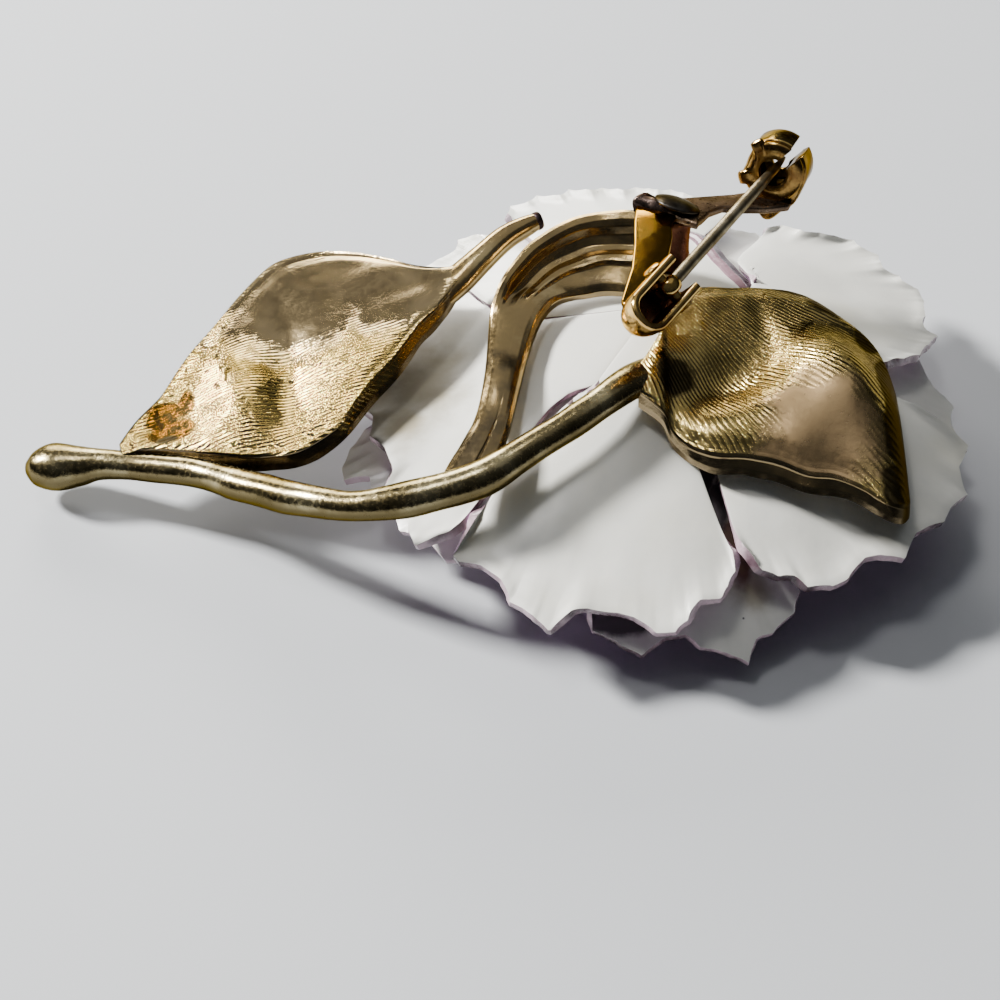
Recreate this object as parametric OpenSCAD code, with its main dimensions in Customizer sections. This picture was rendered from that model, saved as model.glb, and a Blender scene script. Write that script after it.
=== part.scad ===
/* [Flower] */
// Radius of the rear petals at the reference ring where their fall is measured
ring_r = 24; // [20:1:28]
// Thickness of the enamelled petal sheet
sheet_t = 0.5; // [0.4:0.1:0.8]
// Height of the rear petals at the flower's middle
rear_z = 12.3; // [11.8:0.1:12.6]
// Height of the middle petals at the flower's middle
middle_z = 11.5; // [11.0:0.1:11.6]
// Height of the front petals at the flower's middle
front_z = 10.7; // [10.2:0.1:10.8]
// Height of the heart petals at the flower's middle
heart_z = 9.9; // [9.4:0.1:10.0]
// Radius at which the slits between petals stop
slit_r = 5; // [4:0.5:7]
// Depth of the pinked teeth along the petal edges
tooth = 0.9; // [0.5:0.1:1.3]

/* [Spray] */
// Thickness of the cast leaves
leaf_t = 1.3; // [1.0:0.1:1.8]
// Radius of the rolled leaf margin
margin_r = 0.72; // [0.6:0.02:0.9]
// Radius of the boss that carries the flower
boss_r = 1.8; // [1.6:0.1:2.2]
// Radius of the post that carries the pin base
post_r = 1.3; // [1.2:0.05:1.5]

/* [Pin] */
// Thickness of the stamped pin base
base_t = 0.6; // [0.5:0.05:0.8]
// Width of the bar that runs to the catch
bar_w = 2.7; // [2.2:0.1:3.2]
// Lean of the hinge housing from upright, in degrees
lean = 38; // [30:1:45]
// Tilt of the catch towards its bar, in degrees
catch_tilt = 18; // [10:1:20]
// Radius of the pin wire
wire_r = 0.46; // [0.4:0.02:0.5]
// Radius of the hinge rivet
hinge_r = 0.42; // [0.35:0.01:0.45]
// Radial clearance of the pin's eye on its rivet
eye_gap = 0.06; // [0.03:0.01:0.1]
// Inner radius of the catch ring
ring_in = 1.85; // [1.8:0.05:2.0]
// Radial clearance of the locking roll in its ring
roll_gap = 0.06; // [0.03:0.01:0.1]

/* [Hidden] */
$fn = 32;

gold = [0.72, 0.60, 0.36];
bright_gold = [0.80, 0.66, 0.30];
enamel_white = [0.92, 0.92, 0.88];
enamel_lilac = [0.78, 0.62, 0.78];
enamel_purple = [0.35, 0.20, 0.40];
dark_metal = [0.22, 0.20, 0.20];
worn_steel = [0.66, 0.62, 0.52];

// Middle of the flower, seen from above
flower = [11.4, 2.6];

// Petals of each layer: direction, half angle, reach, number of teeth
rear_petal_rows = [
    [257, 27.5, 25.8, 9],
    [316, 27.0, 25.2, 9],
    [ 28, 31.5, 22.6, 9],
    [ 97, 28.5, 21.8, 9],
    [154, 21.5, 21.4, 7],
    [203.5, 23.5, 23.8, 8]];
middle_petal_rows = [
    [276, 22.0, 27.0, 8],
    [353, 30.0, 23.8, 9],
    [ 62, 33.0, 20.4, 9],
    [134, 33.0, 20.0, 9],
    [211, 25.0, 24.6, 8]];
front_petal_rows = [
    [ 20, 34.0, 16.0, 8],
    [ 92, 34.0, 16.0, 8],
    [164, 34.0, 16.0, 8],
    [236, 34.0, 16.0, 8],
    [308, 34.0, 16.0, 8]];
heart_petal_rows = [
    [ 55, 40.0, 8.6, 6],
    [145, 40.0, 8.0, 6],
    [235, 40.0, 8.8, 6],
    [325, 40.0, 8.2, 6]];

// Fall of each layer: drop at the reference ring, power of the curve, ruffle height, ruffles a petal
rear_fall = [6.6, 1.5, 0.35, 1.5];
middle_fall = [7.6, 1.5, 0.35, 1.5];
front_fall = [17.03, 1.45, 0.9, 2];
heart_fall = [33, 1.45, 0.8, 1];

// Stem: x, y, z, half width, half height
stem_rows = [
    [-35.3,  -4.2,  2.3, 0.60, 0.60],
    [-34.6,  -4.25, 2.4, 1.40, 1.35],
    [-33.2,  -4.3,  2.6, 1.85, 1.70],
    [-31.2,  -4.5,  2.9, 1.55, 1.45],
    [-28.8,  -4.9,  3.4, 1.15, 1.10],
    [-22.6,  -6.9,  4.6, 1.10, 1.05],
    [-18.8,  -9.4,  5.8, 1.25, 1.15],
    [-15.1, -11.8,  6.9, 1.30, 1.20],
    [-10.4, -14.1,  8.3, 1.10, 1.05],
    [ -6.0, -14.4,  9.4, 1.35, 1.25],
    [ -1.5, -13.6, 10.4, 1.35, 1.25],
    [  1.5, -11.9, 11.2, 1.20, 1.10],
    [  5.1,  -9.6, 12.1, 1.15, 1.05],
    [  8.6,  -6.7, 12.7, 1.30, 1.05],
    [ 11.0,  -4.6, 12.6, 1.60, 0.80],
    [ 12.8,  -3.4, 12.6, 1.20, 0.60]];

// Calyx branch: x, y, z of its outer rim, then x, y, z of its inner rim
branch_rows = [
    [-3.6, -13.0, 10.2,  -0.6, -13.6, 10.4],
    [-2.8, -10.4, 10.6,   0.6, -11.8, 10.8],
    [-1.5,  -7.6, 11.0,   1.1,  -7.6, 11.1],
    [-0.9,  -1.9, 12.0,   1.7,  -3.3, 11.5],
    [-0.8,   2.2, 12.8,   2.9,   1.6, 12.5],
    [ 0.4,   4.8, 13.6,   4.6,   3.2, 12.9],
    [ 2.1,   7.2, 14.4,   5.8,   3.5, 13.1],
    [ 5.5,   9.4, 15.2,   7.4,   3.7, 13.3],
    [ 9.2,   9.5, 15.6,   9.2,   3.4, 13.5],
    [12.2,   9.0, 15.8,  11.6,   3.2, 13.6],
    [13.9,   8.2, 15.6,  13.4,   4.4, 13.8]];
// Section of the branch: place across from rim to rim, height above the line between the rims
branch_section = [
    [0.00, -0.55], [0.00, 0.15], [0.07, 0.50], [0.17, 0.40], [0.27, -0.10],
    [0.45, -0.15], [0.52, 0.25], [0.60, -0.10], [0.74, -0.05], [0.86, 0.40],
    [0.96, 0.35], [1.00, -0.10], [0.95, -0.70], [0.70, -1.10], [0.30, -1.10]];

// Leaf: place along the axis, far edge, near edge, height at the far edge, middle and near edge
left_leaf_axis = [-28.2, -4.7, 22.4];
left_leaf_rows = [
    [ 0.2,  0.6, -0.8,  4.9,  4.8,  4.5],
    [ 2.0,  1.9, -1.6,  5.5,  5.4,  5.2],
    [ 4.2,  3.1, -3.2,  6.0,  6.1,  5.7],
    [ 6.4,  5.5, -5.2,  6.6,  7.0,  6.3],
    [ 9.0,  7.4, -7.2,  7.4,  7.6,  6.8],
    [11.8,  9.3, -8.5,  8.2,  8.2,  7.7],
    [14.6, 11.2, -8.4,  9.0,  9.0,  8.7],
    [16.8, 11.3, -7.3,  9.8,  9.8,  9.7],
    [19.5, 10.0, -5.8, 10.6, 10.7, 10.5],
    [21.5,  8.2, -4.6, 11.2, 11.4, 11.2],
    [23.3,  5.7, -3.2, 11.7, 11.9, 11.7],
    [25.2,  3.1, -2.1, 12.2, 12.3, 12.1],
    [27.2,  1.6, -0.7, 12.5, 12.5, 12.3]];
right_leaf_axis = [0, 0, 0];
right_leaf_rows = [
    [ 9.8,  -4.9,  -8.0, 13.2, 13.3, 12.9],
    [11.4,  -2.4,  -9.3, 13.6, 13.5, 12.4],
    [12.2,   0.9, -11.0, 14.0, 13.4, 11.8],
    [13.6,   1.7, -12.6, 14.2, 13.2, 11.2],
    [15.4,   2.0, -13.2, 14.2, 12.9, 10.9],
    [18.6,   2.5, -13.1, 13.8, 12.6, 10.7],
    [21.2,   3.4, -14.3, 13.2, 12.1, 10.2],
    [23.4,   3.3, -14.0, 12.6, 11.8,  9.9],
    [25.2,   1.6, -14.6, 12.0, 11.4,  9.4],
    [26.9,   0.5, -15.6, 11.3, 10.8,  8.8],
    [27.9,  -1.2, -15.3, 10.8, 10.3,  8.7]];

// Petiole of the left leaf, which ends in a cut stub: x, y, z, half width, half height
petiole_rows = [
    [-7.6,   3.4, 11.2, 1.20, 0.50],
    [-5.4,   4.7, 11.9, 1.50, 0.75],
    [-3.4,   6.1, 12.4, 1.40, 0.95],
    [-1.6,   7.7, 12.8, 1.10, 0.95],
    [ 0.3,   9.6, 13.2, 0.95, 0.90],
    [ 1.9,  10.6, 13.5, 0.80, 0.80],
    [ 3.1,  11.2, 13.7, 0.60, 0.60]];

// Pin base: hinge axis and catch centre, and the two ends and the middle of the fold at its elbow
hinge_at = [11.84, -2.37, 18.3];
catch_at = [20.79, 11.93, 18.3];
fold_far = [10.0, 8.0, 18.0];
fold_near = [14.5, 4.9, 18.4];
fold_mid = (fold_far + fold_near) / 2;

pin_dir = unit(catch_at - hinge_at);
pin_side = cross(pin_dir, [0, 0, 1]);
swing_dir = cos(lean) * [0, 0, 1] + sin(lean) * pin_side;
hinge_axis = cross(pin_dir, swing_dir);
roll_axis = cos(catch_tilt) * pin_dir - sin(catch_tilt) * swing_dir;
mouth_dir = cos(catch_tilt) * swing_dir + sin(catch_tilt) * pin_dir;

// Place of the bar's root on the catch ring, turned from the ring's mouth
bar_turn = 135;
ring_out = ring_in + base_t;
ring_w = 2.4;
mouth_half = 17;
bar_end = catch_at + (ring_out - base_t / 2)
    * (cos(bar_turn) * mouth_dir + sin(bar_turn) * hinge_axis);
bar_dir = unit(bar_end - fold_mid);
bar_len = norm(bar_end - fold_mid);
bar_up = unit(cross(fold_near - fold_far, bar_end - fold_mid));
fold_dir = unit(fold_near - fold_far);
fold_len = norm(fold_near - fold_far);
plate_up = unit(cross(fold_dir, cross([-0.06, 0.04, 1], fold_dir)));
rivet_at = [1.3, 0.1];
rivet_hole_r = 0.72;
rivet_head_r = 1.75;
post_top = fold_mid + rivet_at[0] * bar_dir - (base_t + 0.1) * bar_up;

// Hinge housing, a strip bent into a U around the pin's eye
housing_half = 1.05;
housing_back = -3.3;
housing_front = 1.5;
housing_low = -1.1;
housing_high = 1.0;
eye_r = 0.98;
eye_half = 0.8;
pin_len = norm(catch_at - hinge_at) + 1.2;
// The wire thins towards its point
taper = 4;
taper_at = pin_len - 5.6;
neck_r = 0.34;
roll_out = ring_in - roll_gap;
roll_in = 1.25;
slot_half = 0.52;
flange_t = 0.45;
flange_r = 1.95;
lug_turns = [-80, -165];

function unit(v) = v / norm(v);
function mix(a, b, t) = a * (1 - t) + b * t;

// A matrix that takes x, y and z to the given right-handed directions at a place
function frame(x, z, at) = let (y = cross(z, x)) [
    [x[0], y[0], z[0], at[0]],
    [x[1], y[1], z[1], at[1]],
    [x[2], y[2], z[2], at[2]],
    [0, 0, 0, 1]];

// One row between rows b and c of a table, on a smooth curve through all rows
function between(a, b, c, d, t) =
    0.5 * (2 * b + (c - a) * t + (2 * a - 5 * b + 4 * c - d) * t * t
    + (3 * b - a - 3 * c + d) * t * t * t);
function row(rows, i) = rows[max(0, min(len(rows) - 1, i))];
function smooth(rows, steps) = [
    for (i = [0 : len(rows) - 2], k = [0 : steps - 1])
        between(row(rows, i - 1), rows[i], rows[i + 1], row(rows, i + 2), k / steps),
    rows[len(rows) - 1]];

function spot(r) = [r[0], r[1], r[2]];
function heading(rows, i) = unit(spot(row(rows, i + 1)) - spot(row(rows, i - 1)));
function oval(rows, i, sides) = let (
    ahead = heading(rows, i),
    across = unit(cross([0, 0, 1], ahead)),
    above = cross(ahead, across)) [
    for (k = [0 : sides - 1]) let (a = 360 * k / sides)
        spot(rows[i]) + rows[i][3] * cos(a) * across + rows[i][4] * sin(a) * above];

// A closed skin through rings of equally many points
module skin(rings) {
    n = len(rings[0]);
    last = len(rings) - 1;
    polyhedron(
        points = [for (ring = rings, p = ring) p],
        faces = concat(
            [[for (k = [0 : n - 1]) k]],
            [[for (k = [n - 1 : -1 : 0]) last * n + k]],
            [for (i = [0 : last - 1], k = [0 : n - 1]) let (j = (k + 1) % n)
                [i * n + k, (i + 1) * n + k, (i + 1) * n + j]],
            [for (i = [0 : last - 1], k = [0 : n - 1]) let (j = (k + 1) % n)
                [i * n + k, (i + 1) * n + j, i * n + j]]));
}

module rod(rows, sides = 10, steps = 2) {
    path = smooth(rows, steps);
    skin([for (i = [0 : len(path) - 1]) oval(path, i, sides)]);
}

// Height of a leaf's top across a row, from its near edge at -1 to its far edge at 1
function leaf_height(r, v) = r[4] + (v > 0 ? r[3] - r[4] : r[5] - r[4]) * v * v;
function leaf_point(axis, r, v, drop) = let (
    along = r[0],
    across = mix(r[2], r[1], (v + 1) / 2))
    [axis[0] + along * cos(axis[2]) - across * sin(axis[2]),
     axis[1] + along * sin(axis[2]) + across * cos(axis[2]),
     leaf_height(r, v) - drop];
leaf_steps = [-1, -0.6, -0.2, 0.2, 0.6, 1];
function leaf_ring(axis, r) = concat(
    [for (v = leaf_steps) leaf_point(axis, r, v, leaf_t)],
    [for (k = [len(leaf_steps) - 1 : -1 : 0]) leaf_point(axis, r, leaf_steps[k], 0)]);

module bead_line(points, r) {
    for (i = [0 : len(points) - 2])
        hull() {
            translate(points[i]) sphere(r, $fn = 8);
            translate(points[i + 1]) sphere(r, $fn = 8);
        }
}

module leaf(axis, rows) {
    skin([for (r = rows) leaf_ring(axis, r)]);
    for (side = [-1, 1])
        bead_line([for (r = rows) leaf_point(axis, r, side, leaf_t / 2)], margin_r);
}

// Section of the branch at one row, as a ring of points
function branch_ring(r) = let (
    outer = [r[0], r[1], r[2]],
    inner = [r[3], r[4], r[5]])
    [for (s = branch_section) mix(outer, inner, s[0]) + [0, 0, s[1]]];

module leaf_spray() {
    color(gold)
    difference() {
        union() {
            rod(stem_rows);
            rod(petiole_rows, 8);
            skin([for (r = smooth(branch_rows, 2)) branch_ring(r)]);
            leaf(left_leaf_axis, left_leaf_rows);
            leaf(right_leaf_axis, right_leaf_rows);
            translate([flower[0], flower[1], rear_z + 0.15]) cylinder(r = boss_r, h = 1.9);
            pin_post();
        }
        translate([flower[0], flower[1], 0]) cylinder(r = flower_shank_r + 0.06, h = 13.9, $fn = 24);
        multmatrix(frame(bar_dir, bar_up, post_top))
            translate([0, rivet_at[1], -2]) cylinder(r = rivet_hole_r, h = 4, $fn = 24);
    }
}

// Post on the branch's end that carries the pin base
module pin_post() {
    multmatrix(frame(bar_dir, bar_up, post_top))
        translate([0, rivet_at[1], -3.6]) cylinder(r = post_r, h = 3.6);
}

// One layer of petals, as a polar grid from the middle hole to the toothed edge
function petal_drop(fall, r) = fall[0] * pow(r / ring_r, fall[1]);
function petal_ruffle(fall, r, u, reach) =
    fall[2] * pow(r / reach, 3) * cos(360 * fall[3] * u / 2);
// Samples around a layer: direction, edge radius, place across the petal, reach
function petal_samples(rows) = [
    for (p = rows) let (n = 2 * p[3])
        for (k = [0 : n + 1]) let (
            u = min(1, -1 + 2 * k / n),
            edge = p[2] * (1 - 0.16 * pow(abs(u), 4)) - (k % 2 == 0 ? tooth * p[2] / ring_r : 0))
            k > n
            ? [p[0] + p[1] + slit_half, slit_r, 1, p[2]]
            : [p[0] + p[1] * u, edge, u, p[2]]];
slit_half = 1.2;
petal_steps = [0, 0.34, 0.68, 1];
hole_r = 0.95;
function petal_point(sample, t, top_z, fall, drop) = let (
    r = mix(hole_r, sample[1], t))
    [flower[0] + r * cos(sample[0]), flower[1] + r * sin(sample[0]),
     top_z - petal_drop(fall, r) + petal_ruffle(fall, r, sample[2], sample[3]) - drop];

module petals(rows, top_z, fall) {
    samples = petal_samples(rows);
    thick = sheet_t * fall_factor(fall);
    rings = [for (s = samples) concat(
        [for (t = petal_steps) petal_point(s, t, top_z, fall, 0)],
        [for (k = [len(petal_steps) - 1 : -1 : 0])
            petal_point(s, petal_steps[k], top_z, fall, thick)])];
    loop(rings);
}

// A steep sheet is cut straight down, so it is thicker that way
function fall_factor(fall) = fall[0] > 10 ? 1.3 : 1;

// A closed ring of sections, the last joined to the first
module loop(rings) {
    n = len(rings[0]);
    m = len(rings);
    polyhedron(
        points = [for (ring = rings, p = ring) p],
        faces = concat(
            [for (i = [0 : m - 1], k = [0 : n - 1]) let (j = (k + 1) % n, next = (i + 1) % m)
                [i * n + k, next * n + k, next * n + j]],
            [for (i = [0 : m - 1], k = [0 : n - 1]) let (j = (k + 1) % n, next = (i + 1) % m)
                [i * n + k, next * n + j, i * n + j]]));
}

module rear_petals() {
    color(enamel_white) petals(rear_petal_rows, rear_z, rear_fall);
}

module middle_petals() {
    color(enamel_lilac) petals(middle_petal_rows, middle_z, middle_fall);
}

module front_petals() {
    color(enamel_purple) petals(front_petal_rows, front_z, front_fall);
}

module heart_petals() {
    color(enamel_purple) petals(heart_petal_rows, heart_z, heart_fall);
}

// Rivet that clamps the petals to the boss, with its round head in the flower's heart
flower_shank_r = 0.8;
module flower_rivet() {
    color(bright_gold)
    translate([flower[0], flower[1], 0])
    rotate_extrude()
        polygon([[0, 6.2], [1.2, 6.4], [1.8, 7.0], [1.9, 7.6], [1.9, 8.1],
                 [flower_shank_r, 8.75], [flower_shank_r, 13.8], [0, 13.8]]);
}

module bar_sheet() {
    w = bar_w / 2;
    far = (fold_far - fold_mid) * bar_dir;
    side = cross(bar_up, bar_dir);
    far_side = (fold_far - fold_mid) * side;
    translate([0, 0, -base_t])
    linear_extrude(base_t)
    difference() {
        polygon([[far, far_side], [0.6, far_side - 0.3], [3.2, w], [bar_len, 0.9],
                 [bar_len, -0.9], [bar_len - 2, -w], [4.0, -w], [-far, -far_side]]);
        translate(rivet_at) circle(rivet_hole_r);
    }
}

module plate_sheet() {
    f = fold_len / 2;
    translate([0, 0, -base_t])
    linear_extrude(base_t)
    polygon([[-f, 0], [-0.2, -4.2], [0.9, -7.0], [2.2, -11.0], [3.3, -11.4],
             [3.2, -5.0], [2.1, -1.6], [f, 0]]);
}

// Outline of the hinge housing seen along its walls
module housing_outline(r) {
    translate([housing_back, 0]) circle(r);
    translate([housing_back, -r]) square([housing_front - housing_back, 2 * r]);
}

module housing() {
    difference() {
        translate([0, 0, housing_low]) linear_extrude(housing_high - housing_low)
        difference() {
            housing_outline(housing_half + base_t);
            housing_outline_inner();
        }
        rotate([90, 0, 0]) cylinder(r = hinge_r + 0.02, h = 10, center = true);
    }
    translate([0, 0, housing_low - base_t]) linear_extrude(base_t)
        housing_outline(housing_half + base_t);
}

module housing_outline_inner() {
    translate([housing_back, 0]) circle(housing_half);
    translate([housing_back, -housing_half])
        square([housing_front - housing_back + 1, 2 * housing_half]);
}

// Ring sector that grips the locking roll, open at its mouth
module catch_ring() {
    rotate(mouth_half)
    rotate_extrude(angle = 360 - 2 * mouth_half)
        translate([ring_in, -ring_w / 2]) square([base_t, ring_w]);
}

module pin_base() {
    color(bright_gold)
    union() {
        multmatrix(frame(bar_dir, bar_up, fold_mid)) bar_sheet();
        multmatrix(frame(fold_dir, plate_up, fold_mid)) plate_sheet();
        multmatrix(frame(pin_dir, swing_dir, hinge_at)) housing();
        multmatrix(frame(mouth_dir, roll_axis, catch_at)) catch_ring();
    }
}

module base_rivet() {
    color(dark_metal)
    multmatrix(frame(bar_dir, bar_up, fold_mid))
    translate([rivet_at[0], rivet_at[1], 0])
    rotate_extrude()
        polygon([[0, -2.2], [0.65, -2.2], [0.65, 0.05], [rivet_head_r, 0.05],
                 [rivet_head_r, 0.25], [1.4, 0.6], [0.8, 0.85], [0, 0.95]]);
}

module hinge_rivet() {
    reach = housing_half + base_t;
    color(worn_steel)
    multmatrix(frame(pin_dir, hinge_axis, hinge_at)) {
        translate([0, 0, -reach - 0.05]) cylinder(r = hinge_r, h = 2 * reach + 0.1);
        for (side = [-1, 1])
            translate([0, 0, side * (reach + 0.17)]) cylinder(r = 0.7, h = 0.25, center = true);
    }
}

module pin_stem() {
    color(worn_steel)
    multmatrix(frame(pin_dir, swing_dir, hinge_at))
    difference() {
        union() {
            rotate([90, 0, 0]) cylinder(r = eye_r, h = 2 * eye_half, center = true);
            rotate([0, 90, 0]) cylinder(r = wire_r, h = taper_at);
            translate([taper_at, 0, 0]) rotate([0, 90, 0]) cylinder(r1 = wire_r, r2 = neck_r, h = taper);
            translate([taper_at + taper, 0, 0]) rotate([0, 90, 0])
                cylinder(r1 = neck_r, r2 = 0.1, h = pin_len - taper_at - taper);
        }
        rotate([90, 0, 0]) cylinder(r = hinge_r + eye_gap, h = 4, center = true);
    }
}

module catch_roll() {
    half = ring_w / 2;
    color(bright_gold)
    multmatrix(frame(mouth_dir, roll_axis, catch_at))
    difference() {
        union() {
            translate([0, 0, -half]) cylinder(r = roll_out, h = ring_w);
            translate([0, 0, -half - flange_t - 0.1]) cylinder(r = flange_r, h = flange_t);
            translate([0, 0, -half - 0.2]) cylinder(r = roll_out, h = 0.3);
            for (turn = lug_turns)
                rotate(turn) translate([flange_r - 0.4, -0.45, -half - flange_t - 0.1])
                    cube([1.1, 0.9, flange_t]);
        }
        cylinder(r = roll_in, h = 10, center = true);
        translate([0, -slot_half, -5]) cube([5, 2 * slot_half, 10]);
    }
}

leaf_spray();
rear_petals();
middle_petals();
front_petals();
heart_petals();
flower_rivet();
pin_base();
base_rivet();
hinge_rivet();
pin_stem();
catch_roll();
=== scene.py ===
from math import asin, copysign, cos, exp, hypot, pi, radians, sin, sqrt

import bpy
from mathutils import Matrix, Vector, noise


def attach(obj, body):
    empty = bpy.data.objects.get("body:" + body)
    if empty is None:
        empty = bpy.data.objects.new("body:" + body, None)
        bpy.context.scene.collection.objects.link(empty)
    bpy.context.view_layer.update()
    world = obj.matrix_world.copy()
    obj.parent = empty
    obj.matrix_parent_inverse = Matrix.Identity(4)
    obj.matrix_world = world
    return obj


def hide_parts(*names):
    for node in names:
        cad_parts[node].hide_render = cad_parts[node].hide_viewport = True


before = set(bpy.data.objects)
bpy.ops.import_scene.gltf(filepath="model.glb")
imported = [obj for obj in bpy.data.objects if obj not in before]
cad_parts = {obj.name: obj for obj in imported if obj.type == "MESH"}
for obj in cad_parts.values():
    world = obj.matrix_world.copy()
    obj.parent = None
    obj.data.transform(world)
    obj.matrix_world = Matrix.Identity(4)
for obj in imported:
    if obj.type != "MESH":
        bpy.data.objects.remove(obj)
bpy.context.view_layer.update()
MM = 0.001
UP = Vector((0, 0, 1))


# Measures of the brooch as in the part, in millimetres and degrees
FLOWER = (11.4, 2.6)
FALL_RING = 24
HINGE = Vector((11.84, -2.37, 18.3))
CATCH = Vector((20.79, 11.93, 18.3))
FOLD_FAR = Vector((10, 8, 18))
FOLD_NEAR = Vector((14.5, 4.9, 18.4))
LEAN = 38
CATCH_TILT = 18
BASE_T = 0.6
RING_IN = 1.85
RING_W = 2.4
ROLL_GAP = 0.06
ROLL_IN = 1.25
WIRE_R = 0.46
HINGE_R = 0.42
HOUSING_HALF = 1.05
PIN_PAST_CATCH = 1.2

# Measures that differ from the part's, to follow the photograph more closely
MOUTH_HALF = 12
SLOT_HALF = 0.43
RIVET_AT = (0.9, 0.2)
RIVET_LEAN = 15

PIN_DIR = (CATCH - HINGE).normalized()
PIN_SIDE = PIN_DIR.cross(UP)
SWING = cos(radians(LEAN)) * UP + sin(radians(LEAN)) * PIN_SIDE
HINGE_AXIS = PIN_DIR.cross(SWING)
TILT = radians(CATCH_TILT)
ROLL_AXIS = cos(TILT) * PIN_DIR - sin(TILT) * SWING
MOUTH = cos(TILT) * SWING + sin(TILT) * PIN_DIR
FOLD_MID = (FOLD_FAR + FOLD_NEAR) / 2
RING_OUT = RING_IN + BASE_T
BAR_TURN = radians(135)
BAR_END = CATCH + (RING_OUT - BASE_T / 2) * (cos(BAR_TURN) * MOUTH + sin(BAR_TURN) * HINGE_AXIS)
BAR_DIR = (BAR_END - FOLD_MID).normalized()
BAR_UP = (FOLD_NEAR - FOLD_FAR).cross(BAR_END - FOLD_MID).normalized()
BAR_LEN = (BAR_END - FOLD_MID).length
FOLD_DIR = (FOLD_NEAR - FOLD_FAR).normalized()
FOLD_LEN = (FOLD_NEAR - FOLD_FAR).length
PLATE_UP = FOLD_DIR.cross(Vector((-0.06, 0.04, 1)).cross(FOLD_DIR)).normalized()


def axes(x, z, at):
    """The place and turn with its x and z along the given directions."""
    y = z.cross(x)
    m = Matrix((x, y, z)).transposed().to_4x4()
    m.translation = at
    return m


BAR_PLACE = axes(BAR_DIR, BAR_UP, FOLD_MID)
PLATE_PLACE = axes(FOLD_DIR, PLATE_UP, FOLD_MID)
HOUSING_PLACE = axes(PIN_DIR, SWING, HINGE)
CATCH_PLACE = axes(MOUTH, ROLL_AXIS, CATCH)


# Camera at the photograph's angle, in millimetres
CAMERA_AT = Vector((0, -129.4, 124.2))
CAMERA_AIM = Vector((0, -9.2, 4))
SENSOR, LENS, NEAREST = 36, 84.15, 5


def set_camera():
    data = bpy.data.cameras.new("camera")
    data.sensor_width = SENSOR
    data.lens = LENS
    data.clip_start = NEAREST * MM
    camera = bpy.data.objects.new("camera", data)
    bpy.context.collection.objects.link(camera)
    camera.location = CAMERA_AT * MM
    camera.rotation_euler = (CAMERA_AIM - CAMERA_AT).to_track_quat("-Z", "Y").to_euler()
    bpy.context.scene.camera = camera


# Bench tools
def deselect():
    if bpy.context.object and bpy.context.object.mode != "OBJECT":
        bpy.ops.object.mode_set(mode="OBJECT")
    bpy.ops.object.select_all(action="DESELECT")


def pick(piece):
    deselect()
    piece.select_set(True)
    bpy.context.view_layer.objects.active = piece


def apply(piece, name, kind, **values):
    """Adds a modifier and applies it."""
    pick(piece)
    tool = piece.modifiers.new(name, kind)
    for key, value in values.items():
        setattr(tool, key, value)
    bpy.ops.object.modifier_apply(modifier=name)


def blank(name, across, along, place):
    """A grid of sheet, each corner (u, v) from 0 to 1 moved to its place in millimetres."""
    deselect()
    bpy.ops.mesh.primitive_grid_add(x_subdivisions=across, y_subdivisions=along, size=1)
    piece = bpy.context.object
    piece.name = piece.data.name = name
    for corner in piece.data.vertices:
        corner.co = Vector(place(corner.co.x + 0.5, corner.co.y + 0.5)) * MM
    return piece


def sealed(piece):
    """Joins the sheet's meeting edges, fills its ends and turns its faces outwards."""
    pick(piece)
    bpy.ops.object.mode_set(mode="EDIT")
    bpy.ops.mesh.select_all(action="SELECT")
    bpy.ops.mesh.remove_doubles(threshold=1e-6)
    bpy.ops.mesh.select_all(action="DESELECT")
    bpy.ops.mesh.select_mode(type="EDGE")
    bpy.ops.mesh.select_non_manifold(extend=False, use_wire=False, use_boundary=True,
                                     use_multi_face=False, use_non_contiguous=False, use_verts=False)
    bpy.ops.mesh.fill_holes(sides=0)
    bpy.ops.mesh.select_all(action="SELECT")
    bpy.ops.mesh.normals_make_consistent(inside=False)
    bpy.ops.object.mode_set(mode="OBJECT")
    return piece


def disc(name, outline, place, low, high):
    """A flat shape from its outline (x, y), between two heights along its own z."""
    deselect()
    bpy.ops.mesh.primitive_circle_add(vertices=len(outline), radius=1, fill_type="NGON")
    piece = bpy.context.object
    piece.name = piece.data.name = name
    for corner, (x, y) in zip(piece.data.vertices, outline):
        corner.co = Vector((x, y, low))
    bpy.ops.object.mode_set(mode="EDIT")
    bpy.ops.mesh.select_all(action="SELECT")
    bpy.ops.mesh.extrude_region_move(TRANSFORM_OT_translate={"value": (0, 0, high - low)})
    bpy.ops.mesh.select_all(action="SELECT")
    bpy.ops.mesh.normals_make_consistent(inside=False)
    bpy.ops.object.mode_set(mode="OBJECT")
    settle(piece, place)
    return piece


def settle(piece, place):
    """Moves a piece's corners from its own millimetres to their place on the brooch."""
    for corner in piece.data.vertices:
        corner.co = (place @ corner.co) * MM


def blend_rows(rows, t):
    """A row between the rows of a table, on a smooth curve; t runs from 0 to 1."""
    last = len(rows) - 1
    at = min(max(t, 0), 1) * last
    i = min(int(at), last - 1)
    f = at - i
    a, b = rows[max(i - 1, 0)], rows[i]
    c, d = rows[i + 1], rows[min(i + 2, last)]
    return [0.5 * (2 * q + (r - p) * f + (2 * p - 5 * q + 4 * r - s) * f * f
                   + (3 * q - p - 3 * r + s) * f ** 3) for p, q, r, s in zip(a, b, c, d)]


def mixed_row(rows, t):
    """A row between the rows of a table, on straight lines; t runs from 0 to 1."""
    at = min(max(t, 0), 1) * (len(rows) - 1)
    i = min(int(at), len(rows) - 2)
    return [p + (q - p) * (at - i) for p, q in zip(rows[i], rows[i + 1])]


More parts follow.
